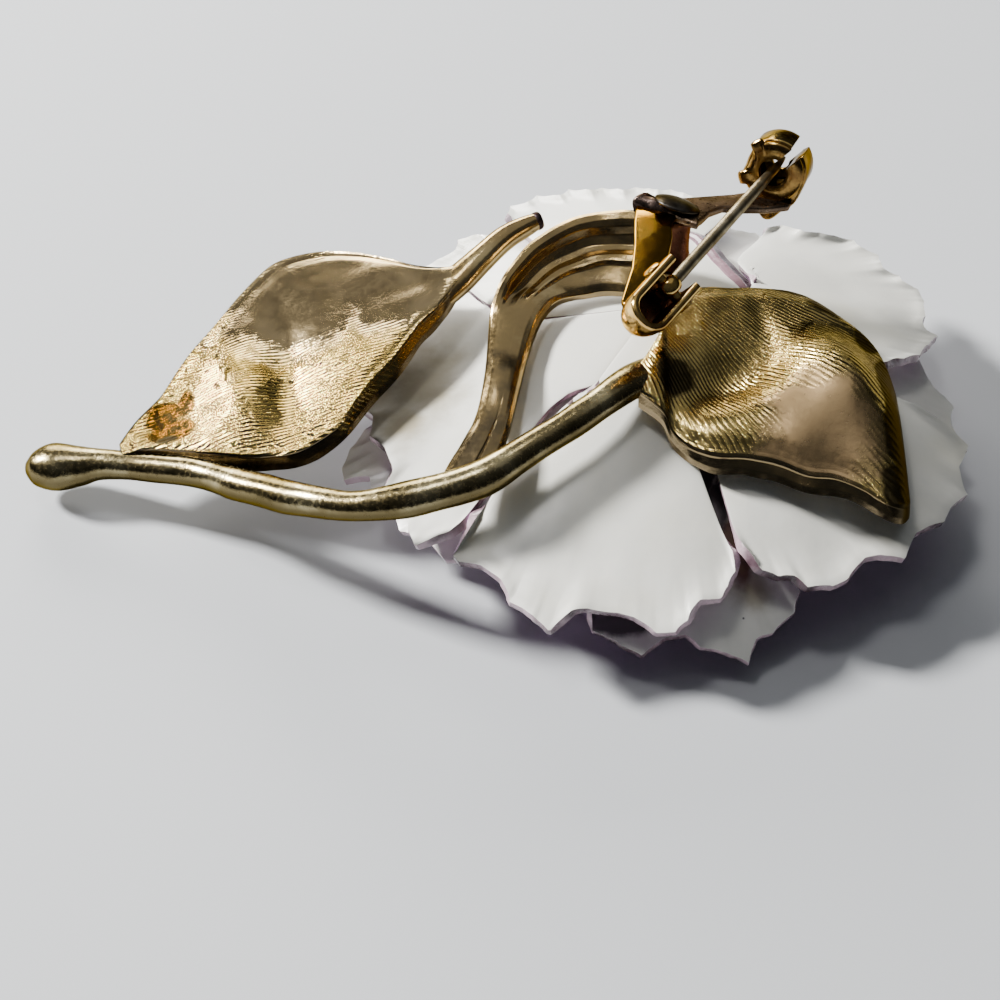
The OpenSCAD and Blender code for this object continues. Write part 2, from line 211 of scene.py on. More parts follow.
def straight_rows(rows, key):
    """The value beside a key, on straight lines between the rows (key, value)."""
    if key <= rows[0][0]:
        return rows[0][1]
    for (k0, v0), (k1, v1) in zip(rows, rows[1:]):
        if key <= k1:
            return v0 + (v1 - v0) * (key - k0) / (k1 - k0)
    return rows[-1][1]


def heading(rows, t):
    """The direction in which a table's x, y, z run on, at t from 0 to 1."""
    return Vector(blend_rows(rows, t + 0.01)[:3]) - Vector(blend_rows(rows, t - 0.01)[:3])


def wander(x, y, z, scale, seed=0):
    """Gentle unevenness from -1 to 1, about scale millimetres wide."""
    return noise.noise(Vector((x / scale + seed, y / scale - seed, z / scale)))


# Materials
def group_of(name, inputs, outputs):
    """A shader node group. An input without a number is a place, and all outputs are numbers."""
    group = bpy.data.node_groups.new(name, "ShaderNodeTree")
    for label, value in inputs:
        kind = "NodeSocketVector" if value is None else "NodeSocketFloat"
        socket = group.interface.new_socket(label, in_out="INPUT", socket_type=kind)
        if value is not None:
            socket.default_value = value
    for label in outputs:
        group.interface.new_socket(label, in_out="OUTPUT", socket_type="NodeSocketFloat")
    return group, group.nodes.new("NodeGroupInput"), group.nodes.new("NodeGroupOutput")


class Bench:
    """Short calls for adding and joining the nodes of one tree."""

    def __init__(self, tree):
        self.tree = tree

    def node(self, kind, **values):
        made = self.tree.nodes.new("ShaderNode" + kind)
        for key, value in values.items():
            setattr(made, key, value)
        return made

    def join(self, source, target):
        self.tree.links.new(source, target)

    def put(self, target, value):
        """Joins a socket to the target, or sets the target to a number or a colour (red, green, blue)."""
        if hasattr(value, "links"):
            self.join(value, target)
        else:
            target.default_value = (*value, 1) if isinstance(value, tuple) else value

    def split(self, vector):
        made = self.node("SeparateXYZ")
        self.join(vector, made.inputs[0])
        return made.outputs

    def upward(self):
        """1 where the surface faces up, 0 on a wall and less below."""
        return self.split(self.node("NewGeometry").outputs["Normal"])["Z"]

    def grain(self, vector, scale, detail=4, roughness=0.55):
        made = self.node("TexNoise")
        self.join(vector, made.inputs["Vector"])
        self.put(made.inputs["Scale"], scale)
        made.inputs["Detail"].default_value = detail
        made.inputs["Roughness"].default_value = roughness
        return made.outputs["Fac"]

    def calc(self, how, a, b=0):
        made = self.node("Math", operation=how)
        self.put(made.inputs[0], a)
        self.put(made.inputs[1], b)
        return made.outputs[0]

    def plus(self, a, b):
        return self.calc("ADD", a, b)

    def less(self, a, b):
        return self.calc("SUBTRACT", a, b)

    def times(self, a, b):
        return self.calc("MULTIPLY", a, b)

    def ease(self, value, low, high, start=0, end=1):
        made = self.node("MapRange", interpolation_type="SMOOTHSTEP")
        self.put(made.inputs["Value"], value)
        for key, number in (("From Min", low), ("From Max", high), ("To Min", start), ("To Max", end)):
            self.put(made.inputs[key], number)
        return made.outputs["Result"]

    def tint(self, mask, a, b):
        """Colour a, changed to b as far as the mask says."""
        made = self.node("Mix", data_type="RGBA")
        self.put(made.inputs[0], mask)
        self.put(made.inputs[6], a)
        self.put(made.inputs[7], b)
        return made.outputs[2]

    def near(self, where, spots, border=(1.15, 0.8)):
        """A mask, 1 inside any of the spots (x, y, radius across, radius along) and 0 outside the border."""
        found = 0
        wobble = self.times(self.less(self.grain(where, 500, 4), 0.5), 1.1)
        place = self.split(where)
        for x, y, rx, ry in spots:
            dx = self.calc("DIVIDE", self.less(place["X"], x * MM), rx * MM)
            dy = self.calc("DIVIDE", self.less(place["Y"], y * MM), ry * MM)
            far = self.calc("SQRT", self.plus(self.times(dx, dx), self.times(dy, dy)))
            found = self.calc("MAXIMUM", found, self.ease(self.plus(far, wobble), *border))
        return found

    def bump(self, height, distance, strength=1, after=None):
        made = self.node("Bump")
        self.put(made.inputs["Height"], height)
        made.inputs["Distance"].default_value = distance
        made.inputs["Strength"].default_value = strength
        if after is not None:
            self.join(after, made.inputs["Normal"])
        return made.outputs["Normal"]


def build_wear():
    """Masks for rubbed high spots and grimy hollows, and fine unevenness. Place is in metres, and a larger
    Scale gives smaller patches."""
    group, start, end = group_of("rubbed_and_grimy", [("Place", None), ("Scale", 400)],
                                 ["Rubbed", "Grimy", "Fine"])
    b = Bench(group)
    slow = b.grain(start.outputs["Place"], start.outputs["Scale"], 5, 0.5)
    b.join(b.ease(slow, 0.5, 0.68), end.inputs["Rubbed"])
    b.join(b.ease(slow, 0.48, 0.3), end.inputs["Grimy"])
    b.join(b.grain(start.outputs["Place"], 3200, 6, 0.6), end.inputs["Fine"])
    return group


def build_ribs():
    """Fine engraved lines, Pitch of them to a metre of Across, and the unevenness that breaks them."""
    group, start, end = group_of("engraved_lines", [("Place", None), ("Across", 0), ("Pitch", 3000)],
                                 ["Lines", "Patchy"])
    b = Bench(group)
    place = start.outputs["Place"]
    bent = b.plus(start.outputs["Across"], b.times(b.grain(place, 180, 2), 0.0012))
    wave = b.calc("SINE", b.times(bent, b.times(start.outputs["Pitch"], 2 * pi)))
    patchy = b.grain(place, 1500, 6, 0.7)
    broken = b.ease(patchy, 0.36, 0.62, 0.25, 1)
    flat = b.ease(b.grain(place, 130, 2), 0.44, 0.6)
    depth = b.times(broken, b.less(1, b.times(flat, 0.6)))
    b.join(b.plus(0.5, b.times(b.times(wave, depth), 0.5)), end.inputs["Lines"])
    b.join(patchy, end.inputs["Patchy"])
    return group


# Colours of the gold at a grazing angle, of the enamel with its stains and its painted shade, and of the dirt,
# tarnish and painted shade on the leaves
GRAZING_GOLD = (0.46, 0.41, 0.31)
WHITE, CREAM, COOL_WHITE, SPECK = (0.8, 0.8, 0.745), (0.74, 0.72, 0.6), (0.7, 0.71, 0.68), (0.05, 0.05, 0.05)
WARM_PAINTED_SHADOW, GAP_PAINTED_SHADE, HOLLOW_PAINTED_SHADE = (0.24, 0.195, 0.105), (0.11, 0.035, 0.01), (0.012, 0.008, 0.012)
GRIME, SOOT, RUST, TARNISH_AND_PAINTED_SHADE = (0.22, 0.15, 0.06), (0.012, 0.006, 0.003), (0.17, 0.08, 0.01), (0.026, 0.021, 0.012)
WEAR = build_wear()
RIBS = build_ribs()


def material(name):
    made = bpy.data.materials.new(name)
    made.use_nodes = True
    shader = made.node_tree.nodes["Principled BSDF"]
    b = Bench(made.node_tree)
    where = b.node("TexCoord").outputs["Object"]
    return made, shader, b, where


def worn(b, where, scale):
    made = b.node("Group")
    made.node_tree = WEAR
    b.join(where, made.inputs["Place"])
    made.inputs["Scale"].default_value = scale
    return made.outputs


def gold_metal(name, light, mid, dark, rough, scale, fine_depth=0.00004, speckle=0.35, painted_shade_below=0):
    """Smooth worn metal, light where it is rubbed and dark in its hollows. rough is its least and most
    roughness, scale how fine the wear is, speckle the share of dark specks, and painted_shade_below how much
    painted shade darkens the faces that look down."""
    made, shader, b, where = material(name)
    wear = worn(b, where, scale)
    colour = b.tint(wear["Rubbed"], mid, light)
    colour = b.tint(b.times(wear["Grimy"], 0.75), colour, dark)
    colour = b.tint(b.ease(wear["Fine"], 0.55, 0.75, 0, speckle), colour, dark)
    # Painted shade: faces that look down go towards the dark colour.
    colour = b.tint(b.ease(b.upward(), 0.5, 0, 0, painted_shade_below), colour, dark)
    b.join(colour, shader.inputs["Base Color"])
    shader.inputs["Metallic"].default_value = 1
    b.put(shader.inputs["Specular Tint"], GRAZING_GOLD)
    b.join(b.ease(wear["Fine"], 0.35, 0.7, *rough), shader.inputs["Roughness"])
    b.join(b.bump(wear["Fine"], fine_depth), shader.inputs["Normal"])
    return made


def leaf_metal(name, across, pitch, depth, lined_look, smooth_at, smooth_look, amber_at, dark_at):
    """Antique gold with fine engraved lines. across works out how far a point lies across them, pitch is how
    many go to a metre and depth how deep they are. lined_look is the colour of the lines, of their crests and
    of the walls, the walls' darker colour being painted shade, and smooth_look the colour and roughness of the
    bare places at smooth_at. amber_at are the rusty places, and dark_at the places of tarnish and of painted
    shade."""
    made, shader, b, where = material(name)
    ribs = b.node("Group")
    ribs.node_tree = RIBS
    b.join(where, ribs.inputs["Place"])
    b.join(across(b, where), ribs.inputs["Across"])
    ribs.inputs["Pitch"].default_value = pitch
    top = b.ease(b.upward(), 0.55, 0.75)
    bare = b.times(b.near(where, smooth_at, (1.3, 0.65)), top)
    wear = worn(b, where, 160)
    lined = b.times(top, b.less(1, bare))
    crest = b.times(b.ease(ribs.outputs["Lines"], 0.35, 0.9), lined)
    amber, tarnish_and_shade = b.near(where, amber_at), b.near(where, dark_at)
    # The walls take lined_look's darker third colour: painted shade.
    colour = b.tint(top, lined_look[2], lined_look[0])
    colour = b.tint(b.times(crest, 0.5), colour, lined_look[1])
    colour = b.tint(b.times(bare, 0.9), colour, smooth_look[0])
    grime = b.times(wear["Grimy"], b.less(0.3, b.times(bare, 0.22)))
    colour = b.tint(grime, colour, GRIME)
    rusty = b.tint(b.ease(ribs.outputs["Patchy"], 0.46, 0.54), SOOT, RUST)
    colour = b.tint(b.times(amber, 0.95), colour, rusty)
    # Dark spots: tarnish, and on the right leaf painted shade along its rolled margin and at its neck.
    colour = b.tint(b.times(tarnish_and_shade, 0.92), colour, TARNISH_AND_PAINTED_SHADE)
    b.join(colour, shader.inputs["Base Color"])
    shader.inputs["Metallic"].default_value = 1
    b.put(shader.inputs["Specular Tint"], GRAZING_GOLD)
    rough = b.ease(ribs.outputs["Patchy"], 0.35, 0.7, 0.14, 0.23)
    rough = b.plus(rough, b.times(wear["Rubbed"], -0.04))
    rough = b.plus(b.times(rough, b.less(1, bare)),
                  b.times(bare, b.ease(ribs.outputs["Patchy"], 0.3, 0.7, *smooth_look[1])))
    b.join(b.plus(rough, b.times(tarnish_and_shade, 0.18)), shader.inputs["Roughness"])
    height = b.times(ribs.outputs["Lines"], lined)
    cut = b.bump(height, depth, 1)
    pitted = b.times(ribs.outputs["Patchy"], b.plus(1, b.times(amber, 4)))
    b.join(b.bump(pitted, 0.00003, 0.6, cut), shader.inputs["Normal"])
    return made


def straight_lines(angle):
    """Lines that run at an angle, in degrees, to the x axis."""
    def across(b, where):
        turned = b.node("Mapping")
        b.join(where, turned.inputs["Vector"])
        turned.inputs["Rotation"].default_value = (0, 0, radians(-angle))
        return b.split(turned.outputs["Vector"])["Y"]
    return across


def fanned_lines(x, y, radius):
    """Lines that fan out from a point; distances are true at the radius."""
    def across(b, where):
        place = b.split(where)
        turn = b.calc("ARCTAN2", b.less(place["Y"], y * MM), b.less(place["X"], x * MM))
        return b.times(turn, radius * MM)
    return across


def white_enamel(name, warm_shadow_at, gap_shade_at, dark_at):
    """White enamel with faint stains and a few dark specks, and painted shade at the spots given: a warm shadow,
    brown shade in gaps and near-black shade in hollows.
    """
    made, shader, b, where = material(name)
    warm_shadow = b.near(where, warm_shadow_at, (1.5, 0.2))
    gap_shade = b.near(where, gap_shade_at, (1.3, 0.6))
    hollow_shade = b.near(where, dark_at, (1.3, 0.7))
    stain = b.grain(where, 90, 3)
    mottle = b.grain(where, 900, 5)
    colour = b.tint(b.ease(stain, 0.52, 0.75, 0, 0.55), WHITE, CREAM)
    colour = b.tint(b.ease(mottle, 0.45, 0.75, 0, 0.3), colour, COOL_WHITE)
    pit = b.node("TexVoronoi", feature="F1")
    b.join(where, pit.inputs["Vector"])
    pit.inputs["Scale"].default_value = 420
    rare = b.calc("GREATER_THAN", b.grain(where, 160, 2), 0.6)
    speck = b.times(b.ease(pit.outputs["Distance"], 0.06, 0.03), rare)
    colour = b.tint(speck, colour, SPECK)
    # Painted shade: a warm shadow tinted by reflected gold, brown shade in gaps and near-black shade in hollows.
    colour = b.tint(b.times(warm_shadow, 0.8), colour, WARM_PAINTED_SHADOW)
    colour = b.tint(b.times(gap_shade, 0.9), colour, GAP_PAINTED_SHADE)
    colour = b.tint(b.times(hollow_shade, 0.93), colour, HOLLOW_PAINTED_SHADE)
    b.join(colour, shader.inputs["Base Color"])
    b.join(b.ease(mottle, 0.4, 0.7, 0.3, 0.42), shader.inputs["Roughness"])
    shader.inputs["Coat Weight"].default_value = 0.25
    shader.inputs["Coat Roughness"].default_value = 0.2
    b.join(b.bump(b.grain(where, 500, 3), 0.00005, 0.5), shader.inputs["Normal"])
    return made


def lilac_enamel(name, light, deep):
    """Lilac enamel, deeper in the hollows."""
    made, shader, b, where = material(name)
    colour = b.tint(b.ease(b.grain(where, 250, 4), 0.38, 0.66), light, deep)
    b.join(colour, shader.inputs["Base Color"])
    b.join(b.ease(b.grain(where, 2200, 4), 0.35, 0.7, 0.22, 0.36), shader.inputs["Roughness"])
    shader.inputs["Coat Weight"].default_value = 0.4
    shader.inputs["Coat Roughness"].default_value = 0.12
    b.join(b.bump(b.grain(where, 700, 3), 0.00006, 0.5), shader.inputs["Normal"])
    return made


# Spots of painted shade: the left leaf's shadow, warmed by reflected gold, on the rear petals; warm and brown
# shade in the gaps between the petals; near-black shade under the leaves' and petals' edges.
REAR_WHITE = white_enamel(
    "white_enamel", [(-5.2, -0.6, 3.2, 4.6), (-7, -4.6, 2.2, 2.6)], [], [(-9.6, -6.6, 1.3, 1.2)])
MIDDLE_WHITE = white_enamel(
    "shaded_white_enamel", [(17.6, -18.2, 1.6, 1.6)],
    [(16.9, -16.8, 0.8, 1.6), (16.2, -15, 0.8, 1.8), (-2.6, -10.4, 1.2, 1.4)],
    [(15.4, -12.4, 0.9, 2.2), (14.6, -10.4, 0.9, 2), (8.3, -20.6, 2.6, 0.9), (6.6, -20, 1.6, 0.9)])
LILAC = lilac_enamel("lilac_enamel", (0.62, 0.42, 0.6), (0.36, 0.18, 0.4))
BAND_LILAC = lilac_enamel("edge_on_enamel", (0.24, 0.145, 0.175), (0.17, 0.095, 0.125))
SHADED_LILAC = lilac_enamel("shaded_edge_enamel", (0.075, 0.045, 0.06), (0.04, 0.02, 0.03))
RIM_LILAC = lilac_enamel("rim_enamel", (0.62, 0.46, 0.53), (0.07, 0.035, 0.05))
# The stem and the branch get painted shade on the faces that look down, from their last number.
STEM_METAL = gold_metal(
    "worn_stem_gold", (0.4, 0.34, 0.19), (0.2, 0.16, 0.08), (0.09, 0.07, 0.03), (0.16, 0.3), 300, 0.00002,
    0.15, 0.85)
BRANCH_METAL = gold_metal(
    "branch_gold", (0.6, 0.46, 0.23), (0.42, 0.3, 0.135), (0.13, 0.105, 0.07), (0.16, 0.24), 220, 0.000008,
    0.08, 0.75)
# The third lined colour, for the walls, is painted shade.
LEFT_METAL = leaf_metal(
    "left_leaf_gold", straight_lines(8), 3400, 0.00009,
    ((0.26, 0.185, 0.06), (0.54, 0.405, 0.13), (0.13, 0.1, 0.06)),
    [(-14, 7.2, 8, 5.8), (-8, 6, 5, 4.6)], ((0.46, 0.35, 0.19), (0.15, 0.19)),
    [(-25, -2.2, 1.3, 1.5), (-24.2, -4, 1.9, 1), (-23.4, -1.6, 0.7, 1.3)], [(-24.5, -4.6, 0.9, 0.35)])
# Its dark spots are painted shade along the rolled-down right margin and at the neck by the stem.
RIGHT_METAL = leaf_metal(
    "right_leaf_gold", fanned_lines(4, 10, 20), 3000, 0.00007,
    ((0.42, 0.31, 0.11), (0.92, 0.71, 0.26), (0.3, 0.23, 0.13)),
    [(22.6, -9.8, 4.2, 4.2), (19.8, -12.4, 3, 1.7)], ((0.74, 0.5, 0.26), (0.27, 0.36)), [(11.4, -3.8, 0.5, 0.7)],
    [(12.5, -5.2, 1.4, 1.9), (21, 4.6, 2.8, 0.8), (24.6, 3, 1.8, 1.2), (26.9, 0.2, 1, 2.2), (27.9, -4, 1, 3.2),
     (28.2, -9, 1.2, 3.6), (28.1, -13.6, 1.4, 2.4)])
BRIGHT = gold_metal(
    "bright_plating", (0.95, 0.7, 0.3), (0.8, 0.52, 0.17), (0.26, 0.1, 0.02), (0.14, 0.26), 380, 0.00001, 0.12)
AMBER = gold_metal(
    "amber_plating", (0.46, 0.27, 0.05), (0.36, 0.19, 0.03), (0.18, 0.08, 0.012), (0.1, 0.14), 380, 0.000004, 0.1)
CATCH_GOLD = gold_metal(
    "catch_gold", (0.52, 0.36, 0.12), (0.3, 0.18, 0.055), (0.1, 0.045, 0.015), (0.12, 0.22), 500, 0.00001, 0.1)
EYE_GOLD = gold_metal(
    "eye_gold", (0.9, 0.62, 0.22), (0.74, 0.48, 0.14), (0.24, 0.11, 0.03), (0.1, 0.2), 600, 0.00001, 0.1)
SCALED = gold_metal(
    "heat_brown_plating", (0.25, 0.18, 0.12), (0.16, 0.11, 0.075), (0.05, 0.035, 0.03), (0.26, 0.44), 500)
# Dark red-brown of the post, its darkness partly painted shade under the bar; inside the hinge housing it is all
# painted shade.
POST_AND_SHADE_METAL = gold_metal(
    "red_brown_leg_and_painted_shade", (0.22, 0.1, 0.05), (0.13, 0.05, 0.03), (0.05, 0.02, 0.015), (0.26, 0.44), 500)
CUT_METAL = gold_metal(
    "dark_cut_metal", (0.06, 0.045, 0.05), (0.03, 0.022, 0.025), (0.015, 0.012, 0.012), (0.35, 0.55), 500)
DARK_RIVET = gold_metal(
    "dark_rivet_steel", (0.11, 0.1, 0.085), (0.05, 0.045, 0.04), (0.018, 0.016, 0.015), (0.28, 0.4), 500, 0.00002)
FOLD_METAL = gold_metal(
    "heat_dark_plating", (0.17, 0.12, 0.09), (0.085, 0.06, 0.05), (0.03, 0.022, 0.02), (0.24, 0.36), 500)
WIRE = gold_metal(
    "wire_metal", (0.38, 0.33, 0.23), (0.25, 0.21, 0.135), (0.13, 0.1, 0.06), (0.36, 0.48), 900, 0.00002)


# Material slot and replaced node of the cast pieces and of the stamped ones
SPRAY, FINDING = ("antique_gold", "leaf_spray"), ("bright_gold", "pin_base")


def finish_piece(piece, metals, slot, node, angle=40, body="brooch"):
    """Smooths edges flatter than the angle, and sets a piece's materials, body and replaced node. slot is not
    used.
    """
    pick(piece)
    bpy.ops.object.shade_smooth_by_angle(angle=radians(angle))
    for metal in metals:
        piece.data.materials.append(metal)
    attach(piece, body)
    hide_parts(node)


# Stem and petiole: x, y, z of the middle, half width, half height
STEM_ROWS = [
    (-35.3, -4.2, 2.3, 0.6, 0.6), (-34.6, -4.25, 2.4, 1.4, 1.35), (-33.2, -4.3, 2.6, 1.85, 1.7),
    (-31.2, -4.5, 2.9, 1.55, 1.45), (-28.8, -4.9, 3.4, 1.15, 1.1), (-22.6, -6.9, 4.6, 1.1, 1.05),
    (-18.8, -9.4, 5.8, 1.25, 1.15), (-15.1, -11.8, 6.9, 1.3, 1.2), (-10.4, -14.1, 8.3, 1.1, 1.05),
    (-6, -14.4, 9.4, 1.35, 1.25), (-1.5, -13.6, 10.4, 1.35, 1.25), (1.5, -11.9, 11.2, 1.2, 1.1),
    (5.1, -9.6, 12.1, 1.15, 1.05), (8.6, -6.7, 12.7, 1.3, 1.05), (11, -4.6, 12.3, 1.6, 0.8),
    (12.8, -3.4, 11.6, 1.2, 0.6)]
PETIOLE_ROWS = [
    (-7.6, 3.4, 10.3, 1, 0.5), (-5.4, 4.7, 11.05, 1.5, 0.75), (-3.4, 6.1, 11.75, 1.35, 0.95),
    (-1.6, 7.7, 12.5, 1.1, 0.95), (0.3, 9.6, 13.15, 0.95, 0.9), (1.9, 10.6, 13.5, 0.8, 0.8),
    (3.1, 11.2, 13.7, 0.6, 0.6)]
CUT_ROWS = [(2.55, 10.95, 13.62, 0.3, 0.3), (2.7, 11.02, 13.64, 0.7, 0.7), (3, 11.16, 13.7, 0.7, 0.7),
            (3.14, 11.22, 13.72, 0.55, 0.55)]


def rod_place(rows, wobble):
    def place(u, v):
        row = blend_rows(rows, v)
        ahead = heading(rows, v).normalized()
        across = UP.cross(ahead).normalized()
        above = ahead.cross(across)
        a = 2 * pi * u
        at = Vector(row[:3])
        side = cos(a) * across * row[3] + sin(a) * above * row[4]
        p = at + side
        return at + side * (1 + wobble * wander(p.x, p.y, p.z, 2.6))
    return place


def make_rod(name, rows, across, along, wobble, metal):
    piece = sealed(blank(name, across, along, rod_place(rows, wobble)))
    finish_piece(piece, [metal], *SPRAY, 60)


# Branch: x, y, z of its outer rim, then x, y, z of its inner rim
BRANCH_ROWS = [
    (-4.4, -13.4, 10, -1.2, -14, 10.2), (-3.1, -10.6, 10.6, 0, -11.4, 10.8),
    (-1.6, -7.6, 11, 0.9, -7.8, 11.1), (-0.9, -1.9, 12, 1.7, -3.3, 11.5),
    (-0.8, 2.2, 12.8, 2.9, 1.6, 12.5), (0.4, 4.8, 13.6, 4.6, 3.2, 12.9),
    (2.1, 7.2, 14.4, 5.8, 3.5, 13.1), (5.5, 9.4, 15.2, 7.4, 3.7, 13.3),
    (9.2, 9.5, 15.6, 9.2, 3.4, 13.5), (12.2, 9, 15.8, 11.6, 3.2, 13.6),
    (13.9, 8.2, 15.6, 13.4, 4.4, 13.8)]
# Section of the arch and of the strap: share of the way across, height above the line between the rims. The
# strap turns into the arch from a place along the branch, later on its inner side, over a short length.
ARCH_FROM, ARCH_SLANT, ARCH_BLEND = 0.36, 0.1, 0.12
ARCH_SECTION = [
    (0, -0.7), (0, 0.15), (0.02, 0.5), (0.08, 0.66), (0.16, 0.62), (0.21, 0.4), (0.25, -0.2), (0.34, -0.5),
    (0.42, -0.45), (0.455, -0.1), (0.475, -0.08), (0.5, -0.4), (0.58, -0.42), (0.615, 0.02), (0.64, 0.26),
    (0.67, 0.26), (0.695, 0.02), (0.8, -0.1), (0.92, -0.22), (1, -0.4), (1, -0.85), (0.7, -1.2),
    (0.3, -1.25), (0, -0.7)]
STRAP_SECTION = [
    (0, -0.6), (0, -0.25), (0.02, -0.1), (0.06, 0.02), (0.14, 0.12), (0.2, 0.17), (0.26, 0.2), (0.34, 0.22),
    (0.42, 0.23), (0.455, 0.23), (0.475, 0.23), (0.5, 0.23), (0.58, 0.22), (0.615, 0.22), (0.64, 0.21),
    (0.67, 0.2), (0.695, 0.19), (0.8, 0.13), (0.92, 0), (1, -0.22), (1, -0.8), (0.7, -1.15),
    (0.3, -1.15), (0, -0.6)]


def eased_rows(rows, t, reach):
    """A row between the rows of a table, on a softer curve that rounds the rows' corners off."""
    reach = min(reach, t, 1 - t)
    near = [blend_rows(rows, t + reach * k) for k in (-1, -0.5, 0, 0.5, 1)]
    return [sum(w * n[i] for w, n in zip((0.1, 0.25, 0.3, 0.25, 0.1), near)) for i in range(len(rows[0]))]


def branch_place(u, v):
    row = eased_rows(BRANCH_ROWS, v, 0.07)
    outer, inner = Vector(row[:3]), Vector(row[3:])
    t, h = mixed_row(ARCH_SECTION, u)
    t_low, h_low = mixed_row(STRAP_SECTION, u)
    arch = min(max((v - ARCH_FROM - ARCH_SLANT * t) / ARCH_BLEND, 0), 1)
    arch = arch * arch * (3 - 2 * arch)
    t, h = t_low + (t - t_low) * arch, h_low + (h - h_low) * arch
    p = outer.lerp(inner, t) + Vector((0, 0, h))
    if h > -0.6:
        p.z += 0.35 * exp(-((p.x - 0.1) / 1.8) ** 2 - ((p.y + 4.2) / 2.2) ** 2)
        p.z -= 0.1 * exp(-((t - 0.62) / 0.03) ** 2) * (1 - arch) * min(1, max(0, (0.25 - v) * 8))
    p.z += 0.1 * wander(p.x, p.y, p.z, 2.2, 3)
    p.y += 0.12 * wander(p.x, p.y, p.z, 1.8, 7)
    return p


# Leaves: x, y and direction of the axis, then rows of the place along it, far edge, near edge, and height at
# the far edge, middle and near edge
LEFT_AXIS = (-28.2, -4.7, 22.4)
LEFT_ROWS = [
    (0.2, 0.6, -0.8, 4.9, 4.8, 4.5), (2, 1.9, -1.6, 5.5, 5.4, 5.2), (4.2, 3.1, -3.2, 6, 6, 5.7),
    (6.4, 5.3, -5.2, 6.6, 6.7, 6.3), (9, 7.1, -7.2, 7.4, 7.5, 6.8), (11.8, 8.9, -8.5, 8.2, 8.2, 7.7),
    (14.6, 10.5, -8.4, 9, 9, 8.7), (16.8, 10.7, -7.3, 9.7, 9.7, 9.6),
    (19.5, 9.7, -5.8, 10.4, 10.5, 10.4), (21.5, 8, -4.6, 11.1, 11.2, 11.1),
    (23.3, 5.7, -3.2, 11.6, 11.8, 11.6), (25.2, 3.1, -2.1, 12.2, 12.2, 12),
    (27.2, 1.7, -0.6, 12.6, 12.7, 12.4), (29.3, 2.1, 0.4, 12.9, 13.1, 12.8)]
RIGHT_AXIS = (0, 0, 0)
RIGHT_ROWS = [
    (9.8, -4.6, -7.6, 13.2, 13.3, 12.9), (11.4, -1.4, -8.9, 13.6, 13.5, 12.4),
    (12.2, 1.7, -10, 14.1, 13.2, 11.2), (13.6, 3, -11.6, 14.4, 13, 10.9),
    (15.4, 3.6, -12.5, 14.4, 12.9, 11), (18.6, 4.3, -12.7, 14, 12.6, 10.8),
    (21.2, 4.9, -13.8, 13.4, 12.1, 10.4), (23.4, 4.7, -13.7, 12.8, 11.8, 10.1),
    (25.2, 3.8, -14.4, 12.3, 11.4, 9.8), (26.9, 2.5, -15.4, 11.6, 10.7, 9.4),
    (28, 0.6, -15.4, 10.8, 9.9, 9), (28.7, -2.4, -14.4, 9.7, 8.9, 8.4), (28.9, -4.2, -13.4, 8.6, 7.9, 7.6)]


def hill(x, y, cx, cy, rx, ry, turn=0):
    """A soft round swelling of height 1 at (cx, cy)."""
    a = radians(turn)
    dx, dy = x - cx, y - cy
    along = (dx * cos(a) + dy * sin(a)) / rx
    across = (-dx * sin(a) + dy * cos(a)) / ry
    return exp(-along * along - across * across)


def left_swell(s, t):
    return (0.95 * hill(s, t, 9.3, -1.2, 2.5, 4.2, -15) + 0.6 * hill(s, t, 19, -4.4, 3.3, 3.6, 12)
            - 0.55 * hill(s, t, 12.6, -2.4, 1.5, 5.5, -17) - 0.3 * hill(s, t, 3.2, 0.2, 1.2, 1.2)
            + 0.25 * hill(s, t, 11.8, 5.2, 1.8, 1.6))


def right_swell(x, y):
    return (hill(x, y, 19.6, -11.6, 6, 3.6, 36) - 1.7 * hill(x, y, 16.4, -5.2, 4.4, 2.5, 34)
            - 0.5 * hill(x, y, 19.1, 0.8, 0.8, 2.4, 10) + 1.5 * hill(x, y, 25, -6, 4.6, 4, -25)
            + 1.1 * hill(x, y, 23.4, -2.8, 3.6, 2.9, -30))


# Slope of the side walls along each leaf, near wall then far wall, and how far the far margin rolls down
LEFT_WALLS = [[(0, 0.2), (0.3, 0.5), (0.6, 1), (0.8, 0.8), (1, 0.3)], [(0, 0.2), (1, 0.2)]]
LEFT_ROLL = [(0, 0), (1, 0)]
RIGHT_WALLS = [[(0, 0.4), (0.5, 0.8), (1, 0.5)], [(0, 0.3), (0.5, 0.5), (0.8, 0.8), (1, 0.9)]]
RIGHT_ROLL = [(0, 0.2), (0.3, 0.5), (0.5, 1), (0.75, 1.4), (1, 1)]
# Half the section of a leaf: place across, drop below the top face, share of the wall's slope. The whole
# section starts and ends at a seam near the far edge.
HALF_SECTION = [
    (0, 0, 1), (0.4, 0, 1), (0.8, 0, 1), (0.9, 0.07, 1), (0.95, 0.05, 1), (0.98, 0, 0.97),
    (1, 0.12, 0.86), (1, 0.22, 0.86), (1, 0.75, 0.3), (1, 1.15, 0), (0.95, 1.3, 0.2),
    (0.8, 1.3, 0.6), (0, 1.3, 1)]
SEAM = 4
LEAF_SECTION = (HALF_SECTION[SEAM::-1] + [(-w, drop, slope) for w, drop, slope in HALF_SECTION[1:-1]]
                + HALF_SECTION[:SEAM - 1:-1])


